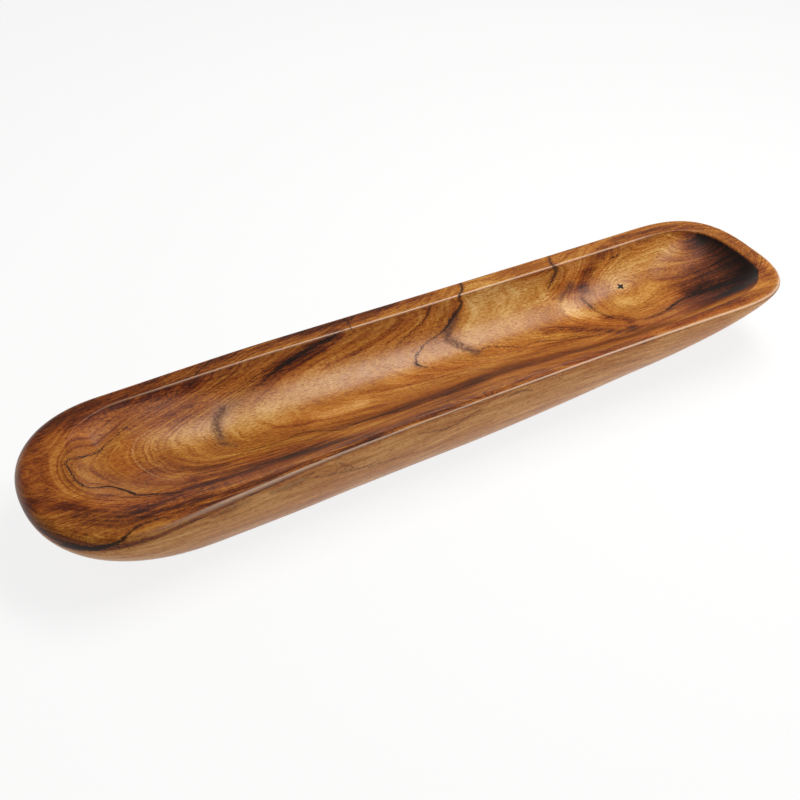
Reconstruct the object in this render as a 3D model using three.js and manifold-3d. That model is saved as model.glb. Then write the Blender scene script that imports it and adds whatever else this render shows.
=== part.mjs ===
// A long serving bowl carved from one billet of teak, with the two dark fills in its flaws.
// Millimetres. +X runs from the low, broad end to the far end, +Y to the back, +Z up.
// The origin is on the table, under the middle of the bowl.
import * as THREE from "three";
import { mergeVertices } from "three/addons/utils/BufferGeometryUtils.js";
import Module from "manifold-3d";

// Overall size, and the plan of the rim.
const bowlLength = 610;
const bowlHeight = 64;
const nearHalfWidth = 78;
const farHalfWidth = 69;
const backWaist = 3.5; // how far each long side is drawn in at the middle
const frontWaist = 7.5;

// Rounded ends of the rim: their length, and their squareness, where 2 is an ellipse.
const nearRound = 75;
const nearSquareness = 2.2;
const farRound = 75;
const farSquareness = 2.9;

// The rim dips towards the near end, over this length.
const nearDip = 5.5;
const nearDipLength = 210;

// Lip widths, from the outer edge to the edge of the hollow.
const backLip = 16;
const nearFrontLip = 10;
const farFrontLip = 18;
const farLip = 14;
const nearLip = 32;
const frontLipSlim = 10.5; // how much the front lip narrows in the middle
const mouthNearRound = 62; // length of the hollow's rounded near end

// The outer edge of the lip is eased along the sides and rolled over at the near end.
const sideEase = 2;
const nearRoll = 8.5;
const nearRollLength = 290;

// Sanded flat under the bowl, set in from the two ends.
const footNearSetback = 105;
const footFarSetback = 125;
const footNearHalfWidth = 35;
const footFarHalfWidth = 19;
const footNearRound = 60;
const footFarRound = 130;

// Fullness of the flank between the foot and the rim: 2 is a quarter ellipse, 1 a straight slope.
const sideFullness = 2;
const nearFullness = 1.65;
const farFullness = 1.33;
const nearFlankLength = 190; // how far from each end the flank takes on the end's fullness
const farFlankLength = 305;

// Lowest line of the hollow, set in from the two ends, and the wood left under it.
// It climbs a ramp at the near end, to this far below the rim there, and a low one at the far end.
const floorThickness = 33;
const keelNearSetback = 66;
const keelFarSetback = 90;
const keelToBack = 15;
const rampLength = 90;
const rampTopDepth = 13;
const farRampLength = 90;
const farRampRise = 7;

// The hollow falls in steeply from a crisp edge, or in a soft S where the edge is worn round.
const wallLean = 0.35; // how far the steep wall leans out at its top, in radians
const innerEase = 1.2;
const softTopBend = 0.08; // shares of the soft S that its upper and lower bends take
const softLowBend = 0.42;
const nearTopBend = 0.4; // the upper bend's share at the near end, given up over this length
const nearBendLength = 130;
const backSoftFrom = 0; // the soft S fades between these distances from the near end of the mouth
const backSoftTo = 30;
const frontSoftFrom = 300;
const frontSoftTo = 480;

// Dark fill in the heart of the knot: a four-lobed plug let into the hollow.
const knotFromFar = 107;
const knotToBack = 29.2;
const knotRadius = 2.6;
const knotLobe = 0.8;
const knotDepth = 6;

// Dark fill in the open check at the near end: a bent sliver.
const checkFromNear = 58;
const checkToFront = 20;
const checkLength = 26;
const checkWidth = 2.4;
const checkBend = 5.8;
const checkTurn = -0.69; // radians
const checkDepth = 4;

// Both fills sit in their pockets with this gap all round.
const fillClearance = 0.3;
const fillStandOut = 8; // how far the fills' prisms reach out of the wood before they are trimmed flush

// Steps of the surfaces.
const endSteps = 14;
const sideSteps = 30;
const flankSteps = 9;
const easeSteps = 3;
const hollowSteps = 12;
const fillSteps = 32;

const nearX = -bowlLength / 2;
const farX = bowlLength / 2;
const { clamp, lerp, smoothstep } = THREE.MathUtils;

// One long side of a plan outline, as [x, half width] from the near tip to the far tip.
function side({ near, far, nearHalf, farHalf, waist, nearEnd, farEnd, nearPower, farPower }) {
  const points = [];
  const add = (x, share) => {
    const s = (x - near) / (far - near);
    points.push([x, share * (lerp(nearHalf, farHalf, s) - waist * 4 * s * (1 - s))]);
  };
  for (let i = 0; i < endSteps; i++) {
    const angle = (i / endSteps) * (Math.PI / 2);
    add(near + nearEnd * (1 - Math.cos(angle) ** (2 / nearPower)), Math.sin(angle) ** (2 / nearPower));
  }
  for (let i = 0; i <= sideSteps; i++) add(lerp(near + nearEnd, far - farEnd, i / sideSteps), 1);
  for (let i = endSteps - 1; i >= 0; i--) {
    const angle = (i / endSteps) * (Math.PI / 2);
    add(far - farEnd * (1 - Math.cos(angle) ** (2 / farPower)), Math.sin(angle) ** (2 / farPower));
  }
  return points;
}

// A closed plan outline: along the front from the near tip, and home along the back.
function outline(plan, front, back) {
  const frontSide = side({ ...plan, ...front }).map(([x, half]) => new THREE.Vector2(x, -half));
  const backSide = side({ ...plan, ...back }).map(([x, half]) => new THREE.Vector2(x, half));
  return [...frontSide, ...backSide.reverse().slice(1, -1)];
}

const squareness = { nearPower: nearSquareness, farPower: farSquareness };
const rim = outline(
  { near: nearX, far: farX, nearEnd: nearRound, farEnd: farRound, ...squareness },
  { nearHalf: nearHalfWidth, farHalf: farHalfWidth, waist: frontWaist },
  { nearHalf: nearHalfWidth, farHalf: farHalfWidth, waist: backWaist },
);
const mouth = outline(
  {
    near: nearX + nearLip, far: farX - farLip,
    nearEnd: mouthNearRound, farEnd: farRound - farLip, ...squareness,
  },
  {
    nearHalf: nearHalfWidth - nearFrontLip, farHalf: farHalfWidth - farFrontLip,
    waist: frontWaist - frontLipSlim,
  },
  { nearHalf: nearHalfWidth - backLip, farHalf: farHalfWidth - backLip, waist: backWaist },
);
const footSide = { nearHalf: footNearHalfWidth, farHalf: footFarHalfWidth, waist: 0 };
const foot = outline(
  {
    near: nearX + footNearSetback, far: farX - footFarSetback,
    nearEnd: footNearRound, farEnd: footFarRound, nearPower: 2, farPower: 2,
  },
  footSide,
  footSide,
);

// Each outline point's partner on a straight line along the middle, between two ends.
const centreLine = (points, near, far, y) => {
  const count = points.length;
  const tip = count / 2;
  return points.map((p, i) => {
    const step = (i <= tip ? i : count - i) - endSteps;
    return new THREE.Vector2(lerp(near, far, clamp(step / sideSteps, 0, 1)), y);
  });
};
const footLineNear = nearX + footNearSetback + footNearRound;
const footLineFar = farX - footFarSetback - footFarRound;
const footLine = centreLine(foot, footLineNear, footLineFar, 0);
const keelNear = nearX + keelNearSetback;
const keelFar = farX - keelFarSetback;
const keel = centreLine(mouth, keelNear, keelFar, keelToBack);

const rimHeight = (x) => bowlHeight - nearDip * (1 - smoothstep(x, nearX, nearX + nearDipLength));
const keelHeight = (x) => {
  const nearShare = smoothstep(x, keelNear, keelNear + rampLength);
  const farShare = smoothstep(x, keelFar - farRampLength, keelFar);
  return lerp(rimHeight(nearX) - rampTopDepth, floorThickness, nearShare) + farShare * farRampRise;
};

// Radius of the lip's outer edge at a point of the rim, limited by the lip's width there.
const roll = (k) => {
  const radius = lerp(nearRoll, sideEase, smoothstep(rim[k].x, nearX, nearX + nearRollLength));
  return Math.min(radius, rim[k].distanceTo(mouth[k]) - innerEase);
};

const fullness = (x) => {
  const nearShare = 1 - smoothstep(x, nearX, nearX + nearFlankLength);
  const farShare = smoothstep(x, farX - farFlankLength, farX);
  return sideFullness + nearShare * (nearFullness - sideFullness) + farShare * (farFullness - sideFullness);
};
const softness = (p) => {
  const fromNear = p.x - mouth[0].x;
  const [from, to] = p.y < 0 ? [frontSoftFrom, frontSoftTo] : [backSoftFrom, backSoftTo];
  return 1 - smoothstep(fromNear, from, to);
};

// Depth along a soft S: an upper bend, a straight slope and a lower bend.
const topBend = (p) => {
  const nearShare = 1 - smoothstep(p.x, mouth[0].x, mouth[0].x + nearBendLength);
  return lerp(softTopBend, nearTopBend, nearShare);
};
const softFall = (s, upper) => {
  const steepest = 1 / (1 - (upper + softLowBend) / 2);
  if (s < upper) return (steepest * s * s) / (2 * upper);
  if (s > 1 - softLowBend) return 1 - (steepest * (1 - s) ** 2) / (2 * softLowBend);
  return steepest * (s - upper / 2);
};

const point3 = (p, z) => new THREE.Vector3(p.x, p.y, z);

// Rings of the surface: the foot, up the flank, over the lip, and down the hollow to its lowest line.
function bowlRings() {
  const rings = [footLine.map((p) => point3(p, 0)), foot.map((p) => point3(p, 0))];
  for (let i = 1; i <= flankSteps; i++) {
    const angle = (i / flankSteps) * (Math.PI / 2);
    rings.push(rim.map((edge, k) => {
      const power = 2 / fullness(edge.x);
      const top = rimHeight(edge.x) - roll(k);
      const p = foot[k].clone().lerp(edge, Math.sin(angle) ** power);
      return point3(p, top * (1 - Math.cos(angle) ** power));
    }));
  }
  for (let i = 1; i <= easeSteps; i++) {
    const angle = (i / easeSteps) * (Math.PI / 2);
    rings.push(rim.map((edge, k) => {
      const radius = roll(k);
      const inset = radius * (1 - Math.cos(angle));
      const p = edge.clone().lerp(mouth[k], inset / edge.distanceTo(mouth[k]));
      return point3(p, rimHeight(edge.x) - radius * (1 - Math.sin(angle)));
    }));
  }
  const mouthTop = (k) => rimHeight(rim[k].x);
  rings.push(mouth.map((p, k) => {
    const edge = p.clone().lerp(rim[k], innerEase / p.distanceTo(rim[k]));
    return point3(edge, mouthTop(k));
  }));
  for (let i = 0; i <= hollowSteps; i++) {
    const s = i / hollowSteps;
    const angle = lerp(wallLean, Math.PI / 2, s);
    const wallIn = (Math.cos(wallLean) - Math.cos(angle)) / Math.cos(wallLean);
    const wallDown = (Math.sin(angle) - Math.sin(wallLean)) / (1 - Math.sin(wallLean));
    rings.push(mouth.map((edge, k) => {
      const soft = softness(edge);
      const top = mouthTop(k) - innerEase * (1 - soft);
      const p = edge.clone().lerp(keel[k], lerp(wallIn, s, soft));
      const down = lerp(wallDown, softFall(s, topBend(edge)), soft);
      return point3(p, lerp(top, keelHeight(keel[k].x), down));
    }));
  }
  return rings;
}

// A closed skin over a list of rings, where points that fall together are merged.
function loft(rings) {
  const count = rings[0].length;
  const triangles = [];
  for (let r = 0; r + 1 < rings.length; r++) {
    for (let k = 0; k < count; k++) {
      const next = (k + 1) % count;
      const [a, b] = [r * count + k, r * count + next];
      const [c, d] = [a + count, b + count];
      triangles.push(a, b, d, a, d, c);
    }
  }
  const geometry = new THREE.BufferGeometry().setFromPoints(rings.flat());
  geometry.setIndex(triangles);
  return welded(geometry);
}

function welded(geometry) {
  geometry.deleteAttribute("normal");
  geometry.deleteAttribute("uv");
  const merged = mergeVertices(geometry, 1e-3);
  const index = Array.from(merged.index.array);
  const kept = [];
  for (let i = 0; i < index.length; i += 3) {
    const [a, b, c] = index.slice(i, i + 3);
    if (a !== b && b !== c && c !== a) kept.push(a, b, c);
  }
  merged.setIndex(kept);
  return merged;
}

const wasm = await Module();
wasm.setup();

const solid = (geometry) => new wasm.Manifold(new wasm.Mesh({
  numProp: 3,
  vertProperties: geometry.attributes.position.array,
  triVerts: new Uint32Array(geometry.index.array),
}));

function meshOf(manifold, name, material) {
  const { numProp, vertProperties, triVerts } = manifold.getMesh();
  const geometry = new THREE.BufferGeometry();
  const buffer = new THREE.InterleavedBuffer(vertProperties, numProp);
  geometry.setAttribute("position", new THREE.InterleavedBufferAttribute(buffer, 3, 0));
  geometry.setIndex(new THREE.BufferAttribute(triVerts, 1));
  geometry.computeVertexNormals();
  const mesh = new THREE.Mesh(geometry, material);
  mesh.name = name;
  return mesh;
}

// The fills. Each outline is drawn about the middle of its flaw, grown by a clearance for its pocket.
function knotShape(grow) {
  const points = [];
  for (let i = 0; i < fillSteps; i++) {
    const angle = (i / fillSteps) * 2 * Math.PI;
    const radius = knotRadius + grow + knotLobe * Math.cos(4 * angle);
    points.push(new THREE.Vector2(radius * Math.cos(angle), radius * Math.sin(angle)));
  }
  return new THREE.Shape(points);
}

function checkShape(grow) {
  const points = [];
  for (let i = 0; i < fillSteps; i++) {
    const angle = (i / fillSteps) * 2 * Math.PI;
    const along = (checkLength / 2 + grow) * Math.cos(angle);
    const across = (checkWidth / 2 + grow) * Math.sin(angle);
    const bend = checkBend * (1 - (along / (checkLength / 2)) ** 2);
    points.push(new THREE.Vector2(along, across + bend));
  }
  return new THREE.Shape(points);
}

// A prism let straight into the wood of the hollow over a point of the plan.
function letIn(body, shape, x, y, depth, turn) {
  const down = new THREE.Vector3(0, 0, -1);
  const [hit] = new THREE.Raycaster(new THREE.Vector3(x, y, 2 * bowlHeight), down).intersectObject(body);
  const geometry = new THREE.ExtrudeGeometry(shape, { depth: depth + fillStandOut, bevelEnabled: false });
  geometry.translate(0, 0, -depth);
  geometry.rotateZ(turn);
  geometry.applyQuaternion(new THREE.Quaternion().setFromUnitVectors(down.negate(), hit.face.normal));
  geometry.translate(...hit.point.toArray());
  return solid(welded(geometry));
}

const teak = new THREE.MeshStandardMaterial({ color: 0x8a4f1e, roughness: 0.4, metalness: 0 });
const filler = new THREE.MeshStandardMaterial({ color: 0x20150f, roughness: 0.55, metalness: 0 });

const carved = solid(loft(bowlRings()));
const carvedMesh = meshOf(carved, "carved", teak);
const fills = [
  {
    name: "knot_filler", shape: knotShape, x: farX - knotFromFar, y: knotToBack,
    depth: knotDepth, turn: 0,
  },
  {
    name: "check_filler", shape: checkShape, x: nearX + checkFromNear, y: -checkToFront,
    depth: checkDepth, turn: checkTurn,
  },
];

const bowl = new THREE.Group();
let body = carved;
for (const { name, shape, x, y, depth, turn } of fills) {
  const plug = letIn(carvedMesh, shape(0), x, y, depth, turn);
  const pocket = letIn(carvedMesh, shape(fillClearance), x, y, depth + fillClearance, turn);
  bowl.add(meshOf(plug.intersect(carved), name, filler));
  body = body.subtract(pocket);
}
bowl.add(meshOf(body, "bowl_body", teak));

// Set the middle of the bowl's box over the origin.
const box = new THREE.Box3().setFromObject(bowl);
bowl.position.y = -(box.min.y + box.max.y) / 2;
export default bowl;
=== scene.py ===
import functools
import math

import bmesh
import bpy
import numpy as np
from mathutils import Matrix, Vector
from mathutils.bvhtree import BVHTree


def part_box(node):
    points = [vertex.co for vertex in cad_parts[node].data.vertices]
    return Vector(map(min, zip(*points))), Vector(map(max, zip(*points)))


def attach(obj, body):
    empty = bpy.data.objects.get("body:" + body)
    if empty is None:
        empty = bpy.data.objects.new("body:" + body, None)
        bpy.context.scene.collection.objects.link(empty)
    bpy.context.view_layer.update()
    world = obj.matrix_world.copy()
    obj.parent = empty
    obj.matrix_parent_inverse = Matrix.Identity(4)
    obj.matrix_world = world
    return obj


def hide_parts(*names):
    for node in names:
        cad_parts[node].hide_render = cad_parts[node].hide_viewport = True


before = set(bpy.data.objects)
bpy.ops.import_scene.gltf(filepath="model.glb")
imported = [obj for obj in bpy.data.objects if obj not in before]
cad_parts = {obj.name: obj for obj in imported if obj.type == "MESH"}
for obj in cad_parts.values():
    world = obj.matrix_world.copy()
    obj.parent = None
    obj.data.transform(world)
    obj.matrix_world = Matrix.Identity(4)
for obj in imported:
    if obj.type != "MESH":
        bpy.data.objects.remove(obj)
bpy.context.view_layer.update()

scene = bpy.context.scene
mm = 0.001

# Kinds of node and settings that come again and again.
calc = "ShaderNodeMath"
vecCalc = "ShaderNodeVectorMath"
mapRange = "ShaderNodeMapRange"
mix = "ShaderNodeMix"
noise = "ShaderNodeTexNoise"
smooth = {"interpolation_type": "SMOOTHSTEP"}


def linear(hexColour):
    # sRGB hex to the linear colour that sockets hold
    parts = [int(hexColour[i:i + 2], 16) / 255 for i in (0, 2, 4)]
    return (*[c / 12.92 if c <= 0.04045 else ((c + 0.055) / 1.055) ** 2.4 for c in parts], 1.0)


def addNode(tree, kind, settings=None, *places, **names):
    # adds a node, fills its shown inputs by place or by name, and hands back its first shown output
    made = tree.nodes.new(kind)
    if isinstance(settings, str):
        settings = {"operation": settings}
    for name, value in (settings or {}).items():
        setattr(made, name, value)
    shown = [socket for socket in made.inputs if socket.enabled]
    named = {socket.name: socket for socket in reversed(shown)}
    filled = [*zip(shown, places), *((named[name], value) for name, value in names.items())]
    for socket, value in filled:
        if isinstance(value, bpy.types.NodeSocket):
            tree.links.new(value, socket)
        else:
            socket.default_value = value
    return next((socket for socket in made.outputs if socket.enabled), None)


def lerp(a, b, share):
    return a + (b - a) * share


def smoothStep(value, low, high):
    share = np.clip((value - low) / (high - low), 0, 1)
    return share * share * (3 - 2 * share)


# Camera, as the photograph was taken. Metres and degrees, and the focal length in image pixels.
view = {
    "azimuth": -28.8,
    "elevation": 39.0,
    "distance": 0.9,
    "target": (-0.0287, -0.0077, 0.035),
    "focalPixels": 1224,
    "imagePixels": 800,
    "sensor": 36.0,  # millimetres
    "clipStart": 0.01,
}

azimuth = math.radians(view["azimuth"])
elevation = math.radians(view["elevation"])
viewBack = Vector((
    math.sin(azimuth) * math.cos(elevation),
    -math.cos(azimuth) * math.cos(elevation),
    math.sin(elevation),
))
viewRight = Vector((math.cos(azimuth), math.sin(azimuth), 0))
viewUp = viewBack.cross(viewRight)
viewPlace = Vector(view["target"]) + viewBack * view["distance"]

cameraData = bpy.data.cameras.new("photoCamera")
cameraData.sensor_width = view["sensor"]
cameraData.lens = view["sensor"] * view["focalPixels"] / view["imagePixels"]
cameraData.clip_start = view["clipStart"]
camera = bpy.data.objects.new("photoCamera", cameraData)
camera.location = viewPlace
camera.rotation_euler = viewBack.to_track_quat("Z", "Y").to_euler()
scene.collection.objects.link(camera)
scene.camera = camera
scene.view_settings.view_transform = "Standard"
print("camera set")


# The carved bowl. Lengths in millimetres, angles in radians, fullness and shares without unit.
bowl = {
    "nearHalfWidth": 78, "farHalfWidth": 69,
    "backWaist": 3.5, "frontWaist": 7.5,
    "nearRound": 75, "nearSquareness": 2.2, "farRound": 75, "farSquareness": 2.9,
    "backLip": 16, "nearFrontLip": 10, "farFrontLip": 18, "farLip": 14, "nearLip": 32,
    "mouthNearRound": 62, "frontLipSlim": 10.5,
    "footNearSetback": 105, "footFarSetback": 125,
    "footNearHalfWidth": 35, "footFarHalfWidth": 19,
    "footNearRound": 60, "footFarRound": 130,
    "keelNearSetback": 66, "keelFarSetback": 90, "keelToBack": 15,
    "endSteps": 56, "sideSteps": 230,  # columns of the net round each end and along each side
    "endSamples": 4001,  # angles tried in spacing the columns round an end
}

# Sizes that the loft tree takes as inputs.
loftSizes = {
    "Near dip": 5.5 * mm, "Near dip length": 210 * mm,
    "Side ease": 2.0 * mm, "Near roll": 8.5 * mm, "Near roll length": 290 * mm,
    "Side fullness": 2.0, "Near fullness": 1.65, "Far fullness": 1.33,
    "Near flank length": 190 * mm, "Far flank length": 305 * mm,
    "Floor thickness": 33 * mm, "Ramp length": 90 * mm, "Ramp top depth": 13 * mm,
    "Far ramp length": 90 * mm, "Far ramp rise": 7 * mm,
    "Wall lean": 0.35, "Inner ease": 1.2 * mm,
    "Soft top bend": 0.08, "Soft low bend": 0.42,
    "Near top bend": 0.4, "Near bend length": 130 * mm,
    "Back soft from": 0.0, "Back soft to": 30 * mm,
    "Front soft from": 300 * mm, "Front soft to": 480 * mm,
    "Tool wave": 0.35 * mm,  # how far the hand-scraped surfaces wander from true
    "Tool wave length": 70 * mm,
    "Calm from": 2 * mm, "Calm to": 14 * mm,  # distance from foot and lip over which the waves come in
    "Weld": 0.02 * mm,
}

# Steps of each stretch of the loft, from the middle of the foot to the lowest line of the hollow.
stretchSteps = {"foot": 4, "flank": 34, "roll": 8, "lip": 8, "edge": 5, "hollow": 62}

planNames = ("rimPlan", "mouthPlan", "footPlan", "footLinePlan", "keelPlan")
bodyLow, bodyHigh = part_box("bowl_body")
nearEnd = bodyLow.x / mm
farEnd = bodyHigh.x / mm
bowlHeight = bodyHigh.z / mm


def evenAngles(length, halfWidth, power, steps):
    # angles round a rounded end that give even steps along its edge
    angle = np.linspace(0, np.pi / 2, bowl["endSamples"])
    x = length * (1 - np.cos(angle) ** (2 / power))
    y = halfWidth * np.sin(angle) ** (2 / power)
    run = np.concatenate([[0], np.cumsum(np.hypot(np.diff(x), np.diff(y)))])
    return np.interp(np.linspace(0, run[-1], steps + 1)[:-1], run, angle)


nearAngles = evenAngles(bowl["nearRound"], bowl["nearHalfWidth"], bowl["nearSquareness"], bowl["endSteps"])
farAngles = evenAngles(bowl["farRound"], bowl["farHalfWidth"], bowl["farSquareness"], bowl["endSteps"])


def planSide(near, far, rounds, powers, halves, waist):
    # one long side of a plan outline, from the near tip to the far tip
    nearX = near + rounds[0] * (1 - np.cos(nearAngles) ** (2 / powers[0]))
    sideX = np.linspace(near + rounds[0], far - rounds[1], bowl["sideSteps"] + 1)
    farX = far - rounds[1] * (1 - np.cos(farAngles) ** (2 / powers[1]))
    x = np.concatenate([nearX, sideX, farX[::-1]])
    nearShare = np.sin(nearAngles) ** (2 / powers[0])
    farShare = np.sin(farAngles) ** (2 / powers[1])
    share = np.concatenate([nearShare, np.ones(len(sideX)), farShare[::-1]])
    s = (x - near) / (far - near)
    return x, share * (lerp(halves[0], halves[1], s) - waist * 4 * s * (1 - s))


def planOutline(near, far, rounds, powers, frontHalves, backHalves, waists):
    # along the front from the near tip, and home along the back
    frontX, frontHalf = planSide(near, far, rounds, powers, frontHalves, waists[0])
    backX, backHalf = planSide(near, far, rounds, powers, backHalves, waists[1])
    x = np.concatenate([frontX, backX[::-1][1:-1]])
    y = np.concatenate([-frontHalf, backHalf[::-1][1:-1]])
    return np.column_stack([x, y, np.zeros(len(x))])


def middleLine(near, far, y, count):
    # each outline point's partner on a straight line along the bowl
    index = np.arange(count)
    step = np.where(index <= count / 2, index, count - index) - bowl["endSteps"]
    x = lerp(near, far, np.clip(step / bowl["sideSteps"], 0, 1))
    return np.column_stack([x, np.full(count, y), np.zeros(count)])


def bowlPlans():
    squareness = (bowl["nearSquareness"], bowl["farSquareness"])
    waists = (bowl["frontWaist"], bowl["backWaist"])
    halves = np.array([bowl["nearHalfWidth"], bowl["farHalfWidth"]])
    rim = planOutline(
        nearEnd, farEnd, (bowl["nearRound"], bowl["farRound"]), squareness, halves, halves, waists)
    mouth = planOutline(
        nearEnd + bowl["nearLip"], farEnd - bowl["farLip"],
        (bowl["mouthNearRound"], bowl["farRound"] - bowl["farLip"]), squareness,
        halves - [bowl["nearFrontLip"], bowl["farFrontLip"]], halves - bowl["backLip"],
        (bowl["frontWaist"] - bowl["frontLipSlim"], bowl["backWaist"]))
    footNear = nearEnd + bowl["footNearSetback"]
    footFar = farEnd - bowl["footFarSetback"]
    footHalves = (bowl["footNearHalfWidth"], bowl["footFarHalfWidth"])
    foot = planOutline(
        footNear, footFar, (bowl["footNearRound"], bowl["footFarRound"]), (2, 2),
        footHalves, footHalves, (0, 0))
    count = len(rim)
    footLine = middleLine(footNear + bowl["footNearRound"], footFar - bowl["footFarRound"], 0, count)
    keel = middleLine(
        nearEnd + bowl["keelNearSetback"], farEnd - bowl["keelFarSetback"], bowl["keelToBack"], count)
    shift = np.array([0, -(rim[:, 1].min() + rim[:, 1].max()) / 2, 0])
    plans = zip(planNames, (rim, mouth, foot, footLine, keel))
    return {name: (points + shift) * mm for name, points in plans}


def bowlNet():
    # a net of columns round the bowl and rings up and over it, still flat: the tree gives it its form
    plans = bowlPlans()
    count = len(plans["rimPlan"])
    rings = [(0, 0.0)]
    for stretch, steps in enumerate(stretchSteps.values()):
        rings += [(stretch, (i + 1) / steps) for i in range(steps)]
    ring, column = np.meshgrid(np.arange(len(rings) - 1), np.arange(count), indexing="ij")
    nextColumn = (column + 1) % count
    corners = [ring * count + column, ring * count + nextColumn,
               (ring + 1) * count + nextColumn, (ring + 1) * count + column]
    mesh = bpy.data.meshes.new("bowl_teak")
    places = np.tile(plans["rimPlan"], (len(rings), 1))
    mesh.from_pydata(places.tolist(), [], np.stack(corners, axis=-1).reshape(-1, 4).tolist())
    for name, points in plans.items():
        spread = np.tile(points, (len(rings), 1)).astype(np.float32)
        mesh.attributes.new(name, "FLOAT_VECTOR", "POINT").data.foreach_set("vector", spread.ravel())
    stretches = np.repeat([r[0] for r in rings], count).astype(np.int32)
    alongs = np.repeat([r[1] for r in rings], count).astype(np.float32)
    mesh.attributes.new("stretch", "INT", "POINT").data.foreach_set("value", stretches)
    mesh.attributes.new("along", "FLOAT", "POINT").data.foreach_set("value", alongs)
    return mesh


def bowlLoft():
    # tree that lifts the net: foot, flank, rolled edge, lip, inner edge and hollow, each by its own rule
    tree = bpy.data.node_groups.new("bowlLoft", "GeometryNodeTree")
    tree.interface.new_socket(name="Net", in_out="INPUT", socket_type="NodeSocketGeometry")
    for name in ("Near end", "Far end", "Mouth end", "Keel end", "Keel far end", "Height", *loftSizes):
        tree.interface.new_socket(name=name, in_out="INPUT", socket_type="NodeSocketFloat")
    tree.interface.new_socket(name="Material", in_out="INPUT", socket_type="NodeSocketMaterial")
    tree.interface.new_socket(name="Bowl", in_out="OUTPUT", socket_type="NodeSocketGeometry")
    given = tree.nodes.new("NodeGroupInput").outputs
    node = functools.partial(addNode, tree)
    vecMix = {"data_type": "VECTOR"}
    quarter = math.pi / 2

    net = {}
    kinds = {**dict.fromkeys(planNames, "FLOAT_VECTOR"), "along": "FLOAT", "stretch": "INT"}
    for name, kind in kinds.items():
        net[name] = node("GeometryNodeInputNamedAttribute", {"data_type": kind}, name)
    rim, mouth, foot, footLine, keel = (net[name] for name in planNames)
    along = net["along"]
    rimX = node("ShaderNodeSeparateXYZ", None, rim)
    mouthX = node("ShaderNodeSeparateXYZ", None, mouth)
    mouthY = mouthX.node.outputs["Y"]
    keelX = node("ShaderNodeSeparateXYZ", None, keel)

    # heights of the rim and of the lowest line
    dipTop = node(calc, "SUBTRACT", given["Height"], given["Near dip"])
    dipEnd = node(calc, "ADD", given["Near end"], given["Near dip length"])
    top = node(mapRange, smooth, rimX, given["Near end"], dipEnd, dipTop, given["Height"])
    rampTop = node(calc, "SUBTRACT", dipTop, given["Ramp top depth"])
    rampEnd = node(calc, "ADD", given["Keel end"], given["Ramp length"])
    nearBottom = node(
        mapRange, smooth, keelX, given["Keel end"], rampEnd, rampTop, given["Floor thickness"])
    farRampStart = node(calc, "SUBTRACT", given["Keel far end"], given["Far ramp length"])
    farRise = node(
        mapRange, smooth, keelX, farRampStart, given["Keel far end"], 0.0, given["Far ramp rise"])
    bottom = node(calc, "ADD", nearBottom, farRise)

    # radius of the outer edge, limited by the lip
    lipWidth = node(vecCalc, "DISTANCE", rim, mouth)
    rollEnd = node(calc, "ADD", given["Near end"], given["Near roll length"])
    rollWish = node(
        mapRange, smooth, rimX, given["Near end"], rollEnd, given["Near roll"], given["Side ease"])
    rollRoom = node(calc, "SUBTRACT", lipWidth, given["Inner ease"])
    roll = node(calc, "MINIMUM", rollWish, rollRoom)

    # fullness of the flank
    sideFull = given["Side fullness"]
    nearFlankEnd = node(calc, "ADD", given["Near end"], given["Near flank length"])
    nearFull = node(
        mapRange, smooth, rimX, given["Near end"], nearFlankEnd, given["Near fullness"], sideFull)
    farFlankEnd = node(calc, "SUBTRACT", given["Far end"], given["Far flank length"])
    farLoss = node(calc, "SUBTRACT", given["Far fullness"], sideFull)
    farFull = node(mapRange, smooth, rimX, farFlankEnd, given["Far end"], 0.0, farLoss)
    power = node(calc, "DIVIDE", 2.0, node(calc, "ADD", nearFull, farFull))

    angle = node(calc, "MULTIPLY", along, quarter)
    sine = node(calc, "SINE", angle)
    cosine = node(calc, "COSINE", angle)
    sineLack = node(calc, "SUBTRACT", 1.0, sine)
    cosineLack = node(calc, "SUBTRACT", 1.0, cosine)

    # foot and flank
    footPlace = node(mix, vecMix, along, footLine, foot)
    flankPlan = node(mix, vecMix, node(calc, "POWER", sine, power), foot, rim)
    flankRise = node(calc, "SUBTRACT", 1.0, node(calc, "POWER", cosine, power))
    flankZ = node(calc, "MULTIPLY", node(calc, "SUBTRACT", top, roll), flankRise)

    # rolled edge, flat lip and inner edge, all on the line from rim to mouth
    rollIn = node(calc, "MULTIPLY", roll, cosineLack)
    rollZ = node(calc, "SUBTRACT", top, node(calc, "MULTIPLY", roll, sineLack))
    lipIn = node(mix, None, along, roll, rollRoom)
    edgeIn = node(calc, "SUBTRACT", lipWidth, node(calc, "MULTIPLY", given["Inner ease"], sineLack))

    # where the mouth's edge is soft
    softSide = {}
    for side in ("Front", "Back"):
        softFrom = node(calc, "ADD", given["Mouth end"], given[side + " soft from"])
        softTo = node(calc, "ADD", given["Mouth end"], given[side + " soft to"])
        softSide[side] = node(mapRange, smooth, mouthX, softFrom, softTo, 1.0, 0.0)
    onFront = node(calc, "LESS_THAN", mouthY, 0.0)
    soft = node(mix, None, onFront, softSide["Back"], softSide["Front"])
    crisp = node(calc, "SUBTRACT", 1.0, soft)
    edgeDrop = node(calc, "MULTIPLY", given["Inner ease"], crisp)
    edgeZ = node(calc, "SUBTRACT", top, node(calc, "MULTIPLY", edgeDrop, cosineLack))

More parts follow.
